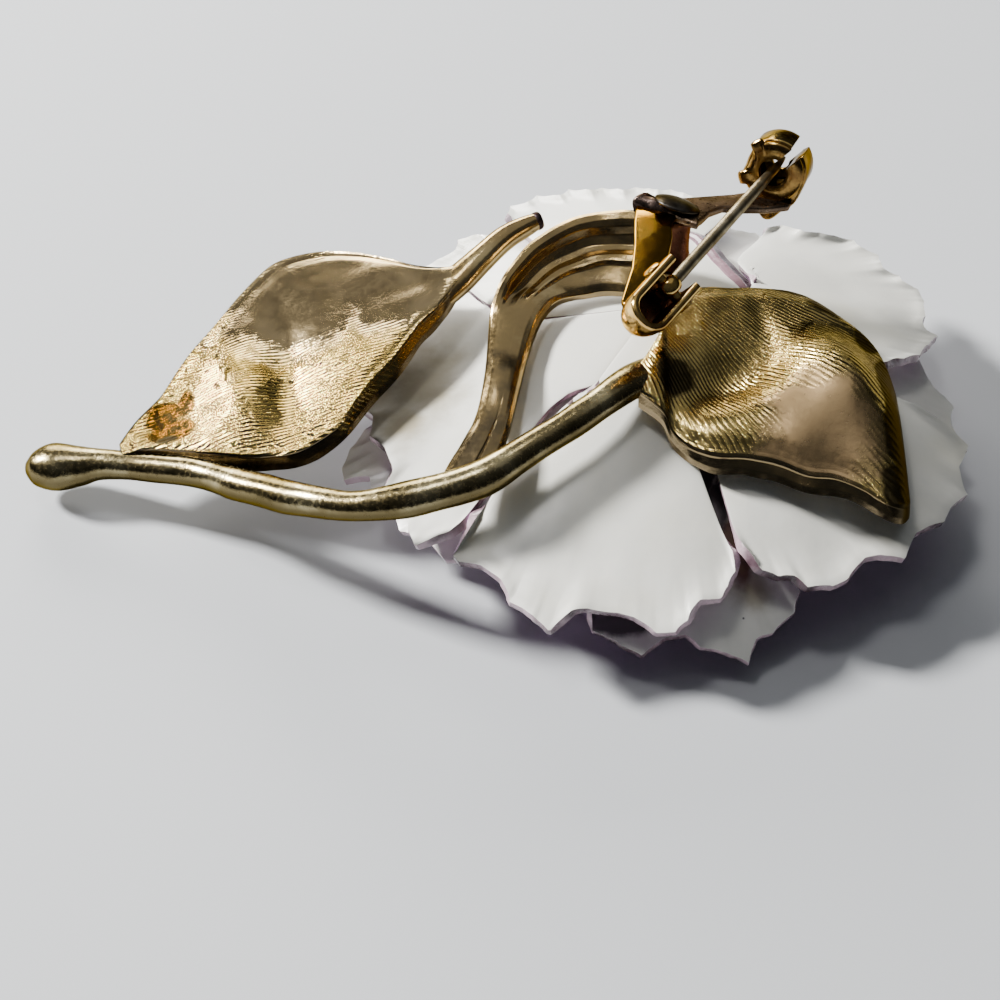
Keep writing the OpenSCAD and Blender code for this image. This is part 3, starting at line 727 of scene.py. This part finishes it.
def leaf_place(axis, rows, swell, seed, walls, rolled):
    ca, sa = cos(radians(axis[2])), sin(radians(axis[2]))

    def place(u, v):
        s, far, near, z_far, z_mid, z_near = blend_rows(rows, v)
        w, drop, slope = mixed_row(LEAF_SECTION, u)
        wall = straight_rows(walls[1 if w > 0 else 0], v) * slope * abs(w) ** 3
        t = near + (far - near) * (w + 1) / 2 - copysign(wall, w)
        t += 0.22 * wander(s, 4 * w, 0, 2.4, seed) * abs(w)
        edge = z_far if w > 0 else z_near
        z = z_mid + (edge - z_mid) * w * w
        inside = max(0, 1 - w * w) ** 0.6
        z += swell(s, t) * inside
        z += 0.12 * wander(s, t, 0, 3, seed) * inside
        z -= drop * (1 + 0.15 * wander(s, t, 0, 2, seed + 3))
        z -= straight_rows(rolled, v) * max(0, (w - 0.74) / 0.26) ** 2
        return (axis[0] + s * ca - t * sa, axis[1] + s * sa + t * ca, z)
    return place


def make_leaf(name, axis, rows, swell, seed, metal, walls, rolled):
    piece = sealed(blank(name, 192, 130, leaf_place(axis, rows, swell, seed, walls, rolled)))
    finish_piece(piece, [metal], *SPRAY, 32)


# Petals: the outer edge as (direction, reach), then each side as (radius, direction)
REAR_PETALS = [
    ([(231.5, 21), (231.5, 24), (233.3, 24.3), (237.4, 23.9), (242, 24.4), (244.7, 25.5), (247.8, 25.8),
      (252.2, 26.8), (254.4, 25.2), (257, 24.6), (261.9, 24.5), (264.9, 24.8), (268, 25.7), (271.1, 25.7),
      (273.1, 25.1), (275.4, 23.8), (279.4, 23.6), (280.9, 22.8), (282.9, 21.9), (283.5, 20.5)],
     [(8.2, 237), (9.6, 232.5), (11.4, 230.6), (19, 231), (22, 232)],
     [(6, 284), (14, 280.8), (18.8, 282.4), (21, 283.5)]),
    ([(286.2, 20.4), (287.6, 22.2), (290.3, 22.9), (293.2, 23.3), (294.2, 24.2), (298.4, 24.7), (301.5, 24.7),
      (306.2, 24), (309.1, 24.6), (312.1, 25.6), (316.9, 24.7), (322.6, 25.5), (325.9, 25.2),
      (331, 25.6), (335.2, 24.2), (341.6, 24.3), (343.5, 22), (345, 20)],
     [(6, 284), (14, 285.5), (18.5, 285), (21, 285.8)],
     [(6, 350), (14, 346), (20, 345)]),
    ([(-6, 17.5), (-3, 18.8), (0.5, 20.2), (4.7, 21.2), (8.8, 22.5), (10.2, 21.5), (12.1, 21.5),
      (14.8, 22.2), (19.8, 23.1), (24, 23.5), (26, 22.4), (28.6, 23), (30.5, 21.8), (35.8, 23.3),
      (39, 22.2), (42.4, 23.2), (44.3, 21.2), (46.2, 20.1), (48, 18.9), (51.8, 18.9), (54, 18.7),
      (55.5, 17.2)],
     [(6, -10), (14, -8), (18, -6)],
     [(8, 28), (9.2, 33), (10.2, 49), (12, 52), (16, 55), (18, 55.5)]),
    ([(68, 18.5), (72, 20.4), (75, 20.8), (78, 19.8), (83, 21.4), (86, 20.4), (91, 21.6), (94, 20.2),
      (98, 22), (101.2, 20.8), (105, 22.4), (108, 21.2), (112, 22.6), (116, 21.4), (119, 22),
      (122, 20.4), (124, 18.5)],
     [(7.6, 26), (8.3, 34), (9.7, 56), (12.2, 69), (16, 68), (19, 68)],
     [(6, 130), (14, 127), (18, 124)]),
    ([(131, 18), (133, 19.4), (137, 20.3), (141, 19.2), (145, 19.6), (149, 20.6), (153, 19.6), (155, 18.6)],
     [(6, 130), (14, 130), (18, 131)],
     [(3.5, 180), (8.4, 176.5), (12.7, 164), (15, 156), (18, 154.5)]),
    ([(158, 19.5), (162, 21.4), (166, 20.4), (171, 21.8), (176, 20.8), (182, 22.2), (188, 21.2), (193, 22.4),
      (197, 21.6), (201, 22.4), (206, 21.9), (211.8, 22.4), (213, 23.4), (216, 24.1), (218.9, 23.4),
      (222.4, 24.3), (225.6, 25), (227.3, 23.9), (229, 23.1), (229.6, 22)],
     [(3.5, 180.6), (8.4, 177.3), (12.7, 165), (15, 157), (18, 156)],
     [(8.2, 237), (9.6, 229), (11.4, 227), (16, 228.6), (22, 229.8)])]


def even_petals(rows):
    """Hidden petals from direction, half angle, reach and number of teeth."""
    petals = []
    for turn, half, reach, teeth in rows:
        steps = teeth * 2
        edge = []
        for k in range(steps + 1):
            u = -1 + 2 * k / steps
            dip = 1 if k % 2 else 0
            wave = 0.7 * wander(turn, k * 0.9, reach, 3)
            edge.append((turn + half * u, reach * (1 - 0.16 * abs(u) ** 4) - dip + wave))
        near, wide = reach * 0.3, reach * 0.6
        petals.append((edge, [(near, turn - half - 1.2), (wide, turn - half)],
                       [(near, turn + half + 1.2), (wide, turn + half)]))
    return petals


MIDDLE_PETALS = even_petals([(62, 34.5, 20.2, 8), (134, 34.5, 19.8, 8)]) + [
    ([(190, 20), (192, 22), (195, 23.4), (198, 24.4), (200.9, 24.6), (204, 23), (209, 24), (213, 23),
      (217, 23.6), (222, 22.8), (228, 23.3), (232, 22.6), (236, 20)],
     [(6, 180), (14, 187), (20, 190)], [(6, 245), (14, 240), (20, 237)]),
    ([(255, 21), (258, 24.2), (263, 25), (266.5, 25.6), (270, 24.4), (273.5, 24.2), (275.5, 25),
      (278.8, 25.4), (282.8, 26.4), (284.8, 25), (288, 24.8), (292.5, 24), (295, 22.8), (298, 20.5)],
     [(6, 246), (14, 252), (20, 255)], [(6, 311), (14, 301), (20, 298)]),
    ([(323, 20), (327, 22.6), (330, 23.4), (334, 22.6), (339, 24.2), (343, 23.4), (346.2, 24.4), (350, 22.9),
      (353, 22.8), (356, 23.2), (357.5, 22.5), (358.5, 21.6), (362, 21.2), (367, 21), (371, 19.6),
      (376, 18.5), (382, 16)],
     [(6, 312), (14, 320), (20, 324)], [(6, 387), (12, 384), (16, 382)])]
FRONT_PETALS = even_petals([(20 + 72 * k, 34, 16, 6) for k in range(5)])
HEART_PETALS = even_petals([(55, 43, 8.6, 4), (145, 43, 8, 4), (235, 43, 8.8, 4), (325, 43, 8.2, 4)])

# Radius at which the petals begin
HUB_R = 1.2
# Fall of each layer: height at its middle, drop at the reference ring, power of the curve, height of its ruffles
REAR_FALL = (12.3, 6.6, 1.5, 0.45)
MIDDLE_FALL = (11.3, 8.3, 1.5, 0.3)
FRONT_FALL = (10.7, 18, 1.45, 0.9)
HEART_FALL = (9.9, 33, 1.45, 0.5)


def bitten(edge, turn):
    """Reach at a direction: points stay sharp, and the bites between them are hollow curves."""
    if turn <= edge[0][0]:
        return edge[0][1]
    for (k0, v0), (k1, v1) in zip(edge, edge[1:]):
        if turn <= k1:
            f = (turn - k0) / (k1 - k0)
            f = f ** 0.65 if v1 < v0 else 1 - (1 - f) ** 0.65
            return v0 + (v1 - v0) * f
    return edge[-1][1]


def petal_place(petal, fall, seed, curls):
    edge, low_side, high_side = petal
    top, drop, power, ruffle = fall
    first, last = edge[0][0], edge[-1][0]

    def place(u, v):
        u = 1 - u
        edge_turn = first + (last - first) * u
        reach = bitten(edge, edge_turn)
        r = HUB_R + (reach - HUB_R) * v
        low, high = straight_rows(low_side, r), straight_rows(high_side, r)
        turn = low + (high - low) * u
        a = radians(turn)
        x, y = FLOWER[0] + r * cos(a), FLOWER[1] + r * sin(a)
        out = r / reach
        side = abs(2 * u - 1)
        z = top - drop * (r / FALL_RING) ** power
        z += ruffle * out ** 5 * (0.9 * wander(x, y, 0, 5.5, seed) + 0.3 * wander(x, y, 0, 2.6, seed))
        bite = max(bitten(edge, edge_turn - 3), reach, bitten(edge, edge_turn + 3)) - reach
        z += (0.16 * min(bite, 1.4) + 0.22) * out ** 24
        z -= 0.25 * side ** 6 * out
        z += 0.15 * wander(x, y, 0, 7, seed) * out
        for at_r, at_turn, wide_r, wide_turn, lift in curls:
            z += lift * exp(-((r - at_r) / wide_r) ** 2 - ((turn - at_turn) / wide_turn) ** 2)
        return (x, y, z)
    return place


def make_petals(layer, shapes, fall, sheet, columns, rows, slot, back, curls=()):
    """One layer of petals, of a grid of columns and rows each, thickened to the sheet."""
    petals = []
    for i, shape in enumerate(shapes):
        own = [curl[1:] for curl in curls if curl[0] == i]
        place = petal_place(shape, fall, 11 * i + fall[0], own)
        petals.append(blank(f"{layer}_petal_{i}", columns, rows, place))
    pick(petals[0])
    for petal in petals:
        petal.select_set(True)
    bpy.ops.object.join()
    piece = bpy.context.object
    piece.name = f"{layer}_petal_layer"
    for metal in (back, LILAC, RIM_LILAC):
        piece.data.materials.append(metal)
    apply(piece, "sheet", "SOLIDIFY", thickness=sheet * MM, offset=-1, material_offset=1,
          material_offset_rim=2, use_even_offset=False)
    apply(piece, "rounded_rim", "BEVEL", width=0.09 * MM, segments=2, angle_limit=radians(50))
    finish_piece(piece, [], slot, f"{layer}_petals")


# Margin of the far petal that stands on edge: its top line, its section as (place across, height), and how far
# to the side a face looks before it counts as shaded
MARGIN_ROWS = [(14.2, 15.6, 9.2), (14.8, 14.3, 10), (15.5, 12.9, 10.5), (16.2, 11.2, 10.8), (16.9, 9.5, 11),
               (17.7, 7.9, 11.1), (18.5, 6.5, 10.9), (19.4, 5, 10.2)]
MARGIN_SECTION = [(-0.52, -0.04), (-0.46, 0.08), (-0.2, 0.14), (0.08, 0.12), (0.18, 0.04), (0.84, -0.26),
                  (0.88, -0.45), (0.7, -1.7), (-0.4, -1.7), (-0.52, -0.04)]
SHADED_FROM = 0.26


def margin_place(u, v):
    at = Vector(blend_rows(MARGIN_ROWS, v))
    across = heading(MARGIN_ROWS, v).cross(UP).normalized()
    side, deep = mixed_row(MARGIN_SECTION, u)
    lean = 0.25 * deep
    return at - (side + lean) * across + Vector((0, 0, deep)) + across * 0.1 * wander(at.x, at.y, 0, 1.5, 2)


def make_margin():
    piece = sealed(blank("curled_petal_margin", 54, 60, margin_place))
    finish_piece(piece, [BAND_LILAC, SHADED_LILAC], "white_enamel", "rear_petals")
    for face in piece.data.polygons:
        face.material_index = 1 if face.normal.x > SHADED_FROM else 0


# Pin finding
def make_bar():
    side = BAR_UP.cross(BAR_DIR)
    far, far_side = (FOLD_FAR - FOLD_MID).dot(BAR_DIR), (FOLD_FAR - FOLD_MID).dot(side)
    outline = [(far + 0.1, far_side - 0.5), (far + 0.3, far_side + 0.05), (far + 0.9, far_side + 0.1),
               (1.2, far_side - 0.5), (2.6, 1.75), (4.6, 1.35), (6.6, 0.95), (BAR_LEN, 0.8),
               (BAR_LEN + 0.3, -1.6), (BAR_LEN - 0.5, -2.3), (BAR_LEN - 2.4, -2.1), (BAR_LEN - 4.6, -1.25),
               (4.6, -0.75), (3.1, -1.1), (1.9, -1.9), (-far + 0.2, -far_side + 0.3),
               (-far - 0.2, -far_side - 0.1)]
    piece = disc("bar_arm", outline, BAR_PLACE, -BASE_T, 0)
    apply(piece, "worn_edge", "BEVEL", width=0.2 * MM, segments=4)
    finish_piece(piece, [SCALED], *FINDING)
    fold = sealed(blank("bent_fold", 20, 24, fold_place))
    finish_piece(fold, [FOLD_METAL], *FINDING, 60)


def fold_place(u, v):
    """The rounded bend between the bar and the plate, a little lumpy where the metal was heated."""
    at = FOLD_FAR.lerp(FOLD_NEAR, 0.6 * v - 0.03)
    a = 2 * pi * u
    r = 0.92 - 0.3 * v + 0.14 * wander(at.x, at.y, a, 0.8, 4)
    r *= sqrt(min(1, 7 * v + 0.03, 5 * (1 - v) + 0.03))
    return at + r * (cos(a) * BAR_UP + sin(a) * BAR_DIR) - 0.2 * BAR_UP + 0.3 * BAR_DIR


def make_plate():
    f = FOLD_LEN / 2
    outline = [(-f + 0.1, 0), (-1.5, -2.2), (0, -4.6), (1.3, -7), (2.7, -10.6), (3.5, -11), (3.4, -7.4),
               (2.8, -4.4), (1.9, -2.4), (1.1, -1.2), (0.8, 0)]
    piece = disc("plate_arm", outline, PLATE_PLACE, -BASE_T, 0)
    apply(piece, "worn_edge", "BEVEL", width=0.16 * MM, segments=4)
    finish_piece(piece, [AMBER], *FINDING)


# Hinge housing: its half round back end and open front, then its section from the middle of the floor over
# the rim and round under the bottom, as (distance outside the inner wall, height)
HOUSING_BACK, HOUSING_FRONT = -3.3, 1.5
HOUSING_SECTION = [(-1.05, -1.1), (-0.4, -1.1), (-0.12, -1.02), (0, -0.8), (0, 0), (0, 0.84), (0.05, 0.94),
                   (0.16, 1), (0.3, 1.02), (0.44, 1), (0.55, 0.93), (0.6, 0.8), (0.6, 0.3), (0.55, -0.2),
                   (0.42, -0.7), (0.2, -1.15), (-0.15, -1.5), (-0.55, -1.68), (-1.05, -1.7)]


def housing_place(u, v):
    out, height = mixed_row(HOUSING_SECTION, u)
    straight, bend = HOUSING_FRONT - HOUSING_BACK, pi * HOUSING_HALF
    at = v * (2 * straight + bend)
    r = HOUSING_HALF + out
    if at < straight:
        spot = Vector((HOUSING_FRONT - at, r, height))
    elif at < straight + bend:
        a = pi / 2 + (at - straight) / HOUSING_HALF
        spot = Vector((HOUSING_BACK + r * cos(a), r * sin(a), height))
    else:
        spot = Vector((HOUSING_BACK + at - straight - bend, -r, height))
    return HOUSING_PLACE @ spot


def make_housing():
    """The stamped trough, bright outside, with painted shade inside in the dark red-brown metal."""
    piece = sealed(blank("hinge_housing", 54, 72, housing_place))
    finish_piece(piece, [BRIGHT, POST_AND_SHADE_METAL], *FINDING, 50)
    back = HOUSING_PLACE.inverted()
    for face in piece.data.polygons:
        x, y, z = back @ (face.center / MM)
        reach = abs(y) if x > HOUSING_BACK else hypot(x - HOUSING_BACK, y)
        # Painted shade: the trough's inner walls and floor get the second, dark metal.
        if reach < HOUSING_HALF + 0.02 and -1.2 < z < 0.8 and x < HOUSING_FRONT - 0.01:
            face.material_index = 1


def open_ring(name, section, gap, shape):
    """A ring with a gap, swept from its section (radius, height). gap gives half its angle at a radius, and
    shape the final radius from a radius, height and direction."""
    rows = section + [section[0]]

    def at(u, v):
        r, h = rows[round(u * (len(rows) - 1))]
        first = gap(r)
        a = first + (2 * pi - 2 * first) * v
        r = shape(r, h, a)
        return CATCH_PLACE @ Vector((r * cos(a), r * sin(a), h))
    return sealed(blank(name, len(rows) - 1, 220, at))


def apart(a, degrees):
    """How far a direction, in radians, is from one in degrees."""
    return abs((a - radians(degrees) + pi) % (2 * pi) - pi)


# Directions round the catch from the ring's mouth: the heel's two swellings, the lugs, the hollow between them
HEEL_AT, LUGS_AT, HOLLOW_AT = (143, 112), (-78, -152), -115


def ring_shape(r, h, a):
    """The ring runs out into a heel where the bar meets it, and is thinner between the roll's lugs."""
    if r < RING_IN + 0.1:
        return r
    heel = sum(rise * exp(-(apart(a, at) / wide) ** 2)
               for at, rise, wide in zip(HEEL_AT, (1.5, 0.6), (0.3, 0.42)))
    return r + (heel if h < 0 else 0) - 0.28 * exp(-(apart(a, HOLLOW_AT) / 0.42) ** 4)


def roll_shape(r, h, a):
    """Two thumb lugs on the roll's flange, with a hollow between them."""
    if r < RING_IN + 0.1:
        return r
    lugs = sum(max(0, min(1, (0.25 - apart(a, at)) / 0.08)) for at in LUGS_AT)
    return r + 0.4 * lugs - 0.42 * exp(-(apart(a, HOLLOW_AT) / 0.4) ** 4)


def make_ring():
    half = RING_W / 2
    section = [(RING_IN, -half), (RING_OUT - 0.12, -half), (RING_OUT, -half + 0.12), (RING_OUT, -0.1),
               (RING_OUT, 0.1), (RING_OUT, half - 0.12), (RING_OUT - 0.12, half), (RING_IN, half)]
    piece = open_ring("catch_ring", section, lambda r: radians(MOUTH_HALF), ring_shape)
    apply(piece, "rolled_edge", "BEVEL", width=0.07 * MM, segments=2)
    finish_piece(piece, [CATCH_GOLD], *FINDING)


def turned_piece(name, profile, place, steps, metal, slot, node, closed=False, body="brooch"):
    """A piece turned on a lathe from its profile (radius, height)."""
    rows = profile + ([profile[0]] if closed else [])

    def at(u, v):
        r, h = rows[round(v * (len(rows) - 1))]
        a = 2 * pi * u
        return place @ Vector((r * cos(a), r * sin(a), h))
    finish_piece(sealed(blank(name, steps, len(rows) - 1, at)), [metal], slot, node, 50, body)


def curved(profile, steps):
    """Adds points on a smooth curve between the profile's points."""
    count = (len(profile) - 1) * steps
    return [tuple(blend_rows(profile, k / count)) for k in range(count + 1)]


def make_base_rivet():
    place = (BAR_PLACE @ Matrix.Translation((*RIVET_AT, 0.12))
             @ Matrix.Rotation(radians(RIVET_LEAN), 4, "Y"))
    dome = curved([(1.66, 0.07), (1.75, 0.18), (1.66, 0.34), (1.2, 0.52), (0.7, 0.62), (0.02, 0.66)], 3)
    turned_piece("base_rivet_head", [(0.02, -2.2), (0.65, -2.2), (0.65, 0.06), (1.6, 0.06)] + dome,
                 place, 48, DARK_RIVET, "dark_rivet", "base_rivet")


def make_hinge_rivet():
    reach = HOUSING_HALF + BASE_T
    place = axes(PIN_DIR, HINGE_AXIS, HINGE)
    head = [(HINGE_R, reach + 0.05), (0.68, reach + 0.06), (0.7, reach + 0.14), (0.55, reach + 0.26),
            (0.02, reach + 0.3)]
    tail = [(r, -h) for r, h in reversed(head)]
    turned_piece("hinge_rivet_pin", tail + head, place, 32, BRIGHT, "bright_gold", "hinge_rivet")


def make_flower_rivet():
    place = Matrix.Translation((*FLOWER, 0))
    head = curved([(0.02, 6.2), (0.9, 6.35), (1.6, 6.85), (1.9, 7.5), (1.88, 8.05)], 4)
    turned_piece("flower_heart_rivet", head + [(0.8, 8.7), (0.8, 13.8), (0.02, 13.8)], place, 40,
                 BRIGHT, "antique_gold", "flower_rivet")


def make_pin():
    """The wire from its eye's rim to its sharpened tip, then the eye with its oval section."""
    length = (CATCH - HINGE).length + PIN_PAST_CATCH
    root, taper_from, steps = 0.75, length - 5.6, 12
    profile = [(0.02, root)] + [(WIRE_R, root + (taper_from - root) * k / steps) for k in range(steps + 1)]
    profile += [(0.43, length - 4.4), (0.39, length - 3), (0.34, length - 1.6), (0.22, length - 0.7),
                (0.1, length - 0.1), (0.02, length)]
    turned_piece("pin_wire", profile, axes(SWING, PIN_DIR, HINGE), 24, WIRE, "pin_wire", "pin_stem", body="pin")
    turns = [2 * pi * k / 16 for k in range(16)]
    turned_piece("pin_eye", [(0.73 + 0.28 * cos(a), 0.58 * sin(a)) for a in turns],
                 axes(PIN_DIR, HINGE_AXIS, HINGE), 40, EYE_GOLD, "pin_wire", "pin_stem", True, "pin")


def make_roll():
    half = RING_W / 2
    section = [(1.04, -half - 0.4), (1.1, -half - 0.5), (1.24, -half - 0.56), (2.02, -half - 0.52),
               (2.22, -half - 0.46), (2.33, -half - 0.34), (2.33, -half - 0.16),
               (RING_IN - ROLL_GAP, -half - 0.1), (RING_IN - ROLL_GAP, half), (0.62, half), (0.62, half - 0.3),
               (ROLL_IN, half - 0.4), (ROLL_IN, -half + 0.1)]
    piece = open_ring("locking_roll", section, lambda r: asin(SLOT_HALF / r), roll_shape)
    apply(piece, "rolled_edge", "BEVEL", width=0.06 * MM, segments=2)
    finish_piece(piece, [CATCH_GOLD], "bright_gold", "catch_roll", body="roll")


def make_post():
    place = BAR_PLACE @ Matrix.Translation((*RIVET_AT, -BASE_T - 0.1))
    foot = curved([(1.3, -0.4), (1.28, -1.5), (1.4, -2.6), (1.7, -3.6)], 3)
    turned_piece("finding_post", [(0.02, 0), (1.2, 0), (1.3, -0.12)] + foot + [(0.02, -3.6)], place, 40,
                 POST_AND_SHADE_METAL, *SPRAY)


def make_boss():
    place = Matrix.Translation((*FLOWER, 0))
    side = curved([(1.8, 12.8), (1.7, 13.6), (1.5, 14.2), (0.9, 14.35)], 3)
    turned_piece("flower_boss", [(0.86, 12.5), (1.7, 12.45), (1.8, 12.6)] + side + [(0.86, 14.3)], place, 40,
                 BRANCH_METAL, *SPRAY, True)


# Studio: lamps as name, place and size in metres, power in watts, colour
LAMPS = [
    ("window", (-0.466, 0.186, 0.364), (0.1, 0.1), 14.5, (1, 0.98, 0.94)),
    ("ceiling_panel", (0.03, 0.17, 0.57), (0.64, 0.6), 0.42, (0.96, 0.98, 1)),
    ("high_lamp", (-0.15, 0.1, 0.565), (0.1, 0.1), 0.63, (1, 0.98, 0.95)),
    ("back_window", (-0.13, 0.53, 0.205), (0.3, 0.2), 4, (1, 0.97, 0.91))]
FLOOR_SIZE, FLOOR_COLOUR, FLOOR_ROUGHNESS = 3, (0.47, 0.49, 0.52), 0.7
ROOM_LOW, ROOM_HIGH, ROOM_LIGHT = (0.05, 0.055, 0.06), (0.66, 0.71, 0.78), 0.1


def set_studio():
    deselect()
    bpy.ops.mesh.primitive_plane_add(size=FLOOR_SIZE, location=(0, 0, 0))
    floor = bpy.context.object
    floor.name = "floor"
    made, shader, b, _ = material("pale_floor")
    b.put(shader.inputs["Base Color"], FLOOR_COLOUR)
    shader.inputs["Roughness"].default_value = FLOOR_ROUGHNESS
    floor.data.materials.append(made)

    world = bpy.context.scene.world or bpy.data.worlds.new("world")
    bpy.context.scene.world = world
    world.use_nodes = True
    sky = Bench(world.node_tree)
    background = world.node_tree.nodes["Background"]
    height = sky.ease(sky.split(sky.node("TexCoord").outputs["Generated"])["Z"], -0.1, 0.95)
    sky.join(sky.tint(height, ROOM_LOW, ROOM_HIGH), background.inputs["Color"])
    background.inputs["Strength"].default_value = ROOM_LIGHT

    for name, at, size, power, colour in LAMPS:
        data = bpy.data.lights.new(name, "AREA")
        data.shape = "RECTANGLE"
        data.size, data.size_y = size
        data.energy = power
        data.color = colour
        light = bpy.data.objects.new(name, data)
        bpy.context.collection.objects.link(light)
        light.location = at
        light.rotation_euler = (-Vector(at)).to_track_quat("-Z", "Y").to_euler()


set_camera()
deselect()
make_rod("main_stem", STEM_ROWS, 40, 220, 0.08, STEM_METAL)
make_rod("left_leaf_petiole", PETIOLE_ROWS, 28, 60, 0.05, BRANCH_METAL)
make_rod("petiole_cut_end", CUT_ROWS, 20, 12, 0.08, CUT_METAL)
branch = sealed(blank("ribbed_branch", 138, 130, branch_place))
finish_piece(branch, [BRANCH_METAL], *SPRAY, 45)
make_leaf("left_leaf", LEFT_AXIS, LEFT_ROWS, left_swell, 2, LEFT_METAL, LEFT_WALLS, LEFT_ROLL)
make_leaf("right_leaf", RIGHT_AXIS, RIGHT_ROWS, right_swell, 5, RIGHT_METAL, RIGHT_WALLS, RIGHT_ROLL)
make_post()
make_boss()
# A curl: petal, radius, direction, its two widths, and how far the sheet turns up
make_petals("rear", REAR_PETALS, REAR_FALL, 0.6, 130, 36, "white_enamel", REAR_WHITE,
            [(5, 14.5, 187, 4.5, 16, -1)])
make_margin()
make_petals("middle", MIDDLE_PETALS, MIDDLE_FALL, 0.5, 110, 22, "white_enamel", MIDDLE_WHITE)
make_petals("front", FRONT_PETALS, FRONT_FALL, 0.5, 70, 16, "lilac_enamel", REAR_WHITE)
make_petals("heart", HEART_PETALS, HEART_FALL, 0.42, 60, 12, "lilac_enamel", LILAC)
make_bar()
make_plate()
make_housing()
make_ring()
make_base_rivet()
make_hinge_rivet()
make_flower_rivet()
make_pin()
make_roll()
set_studio()
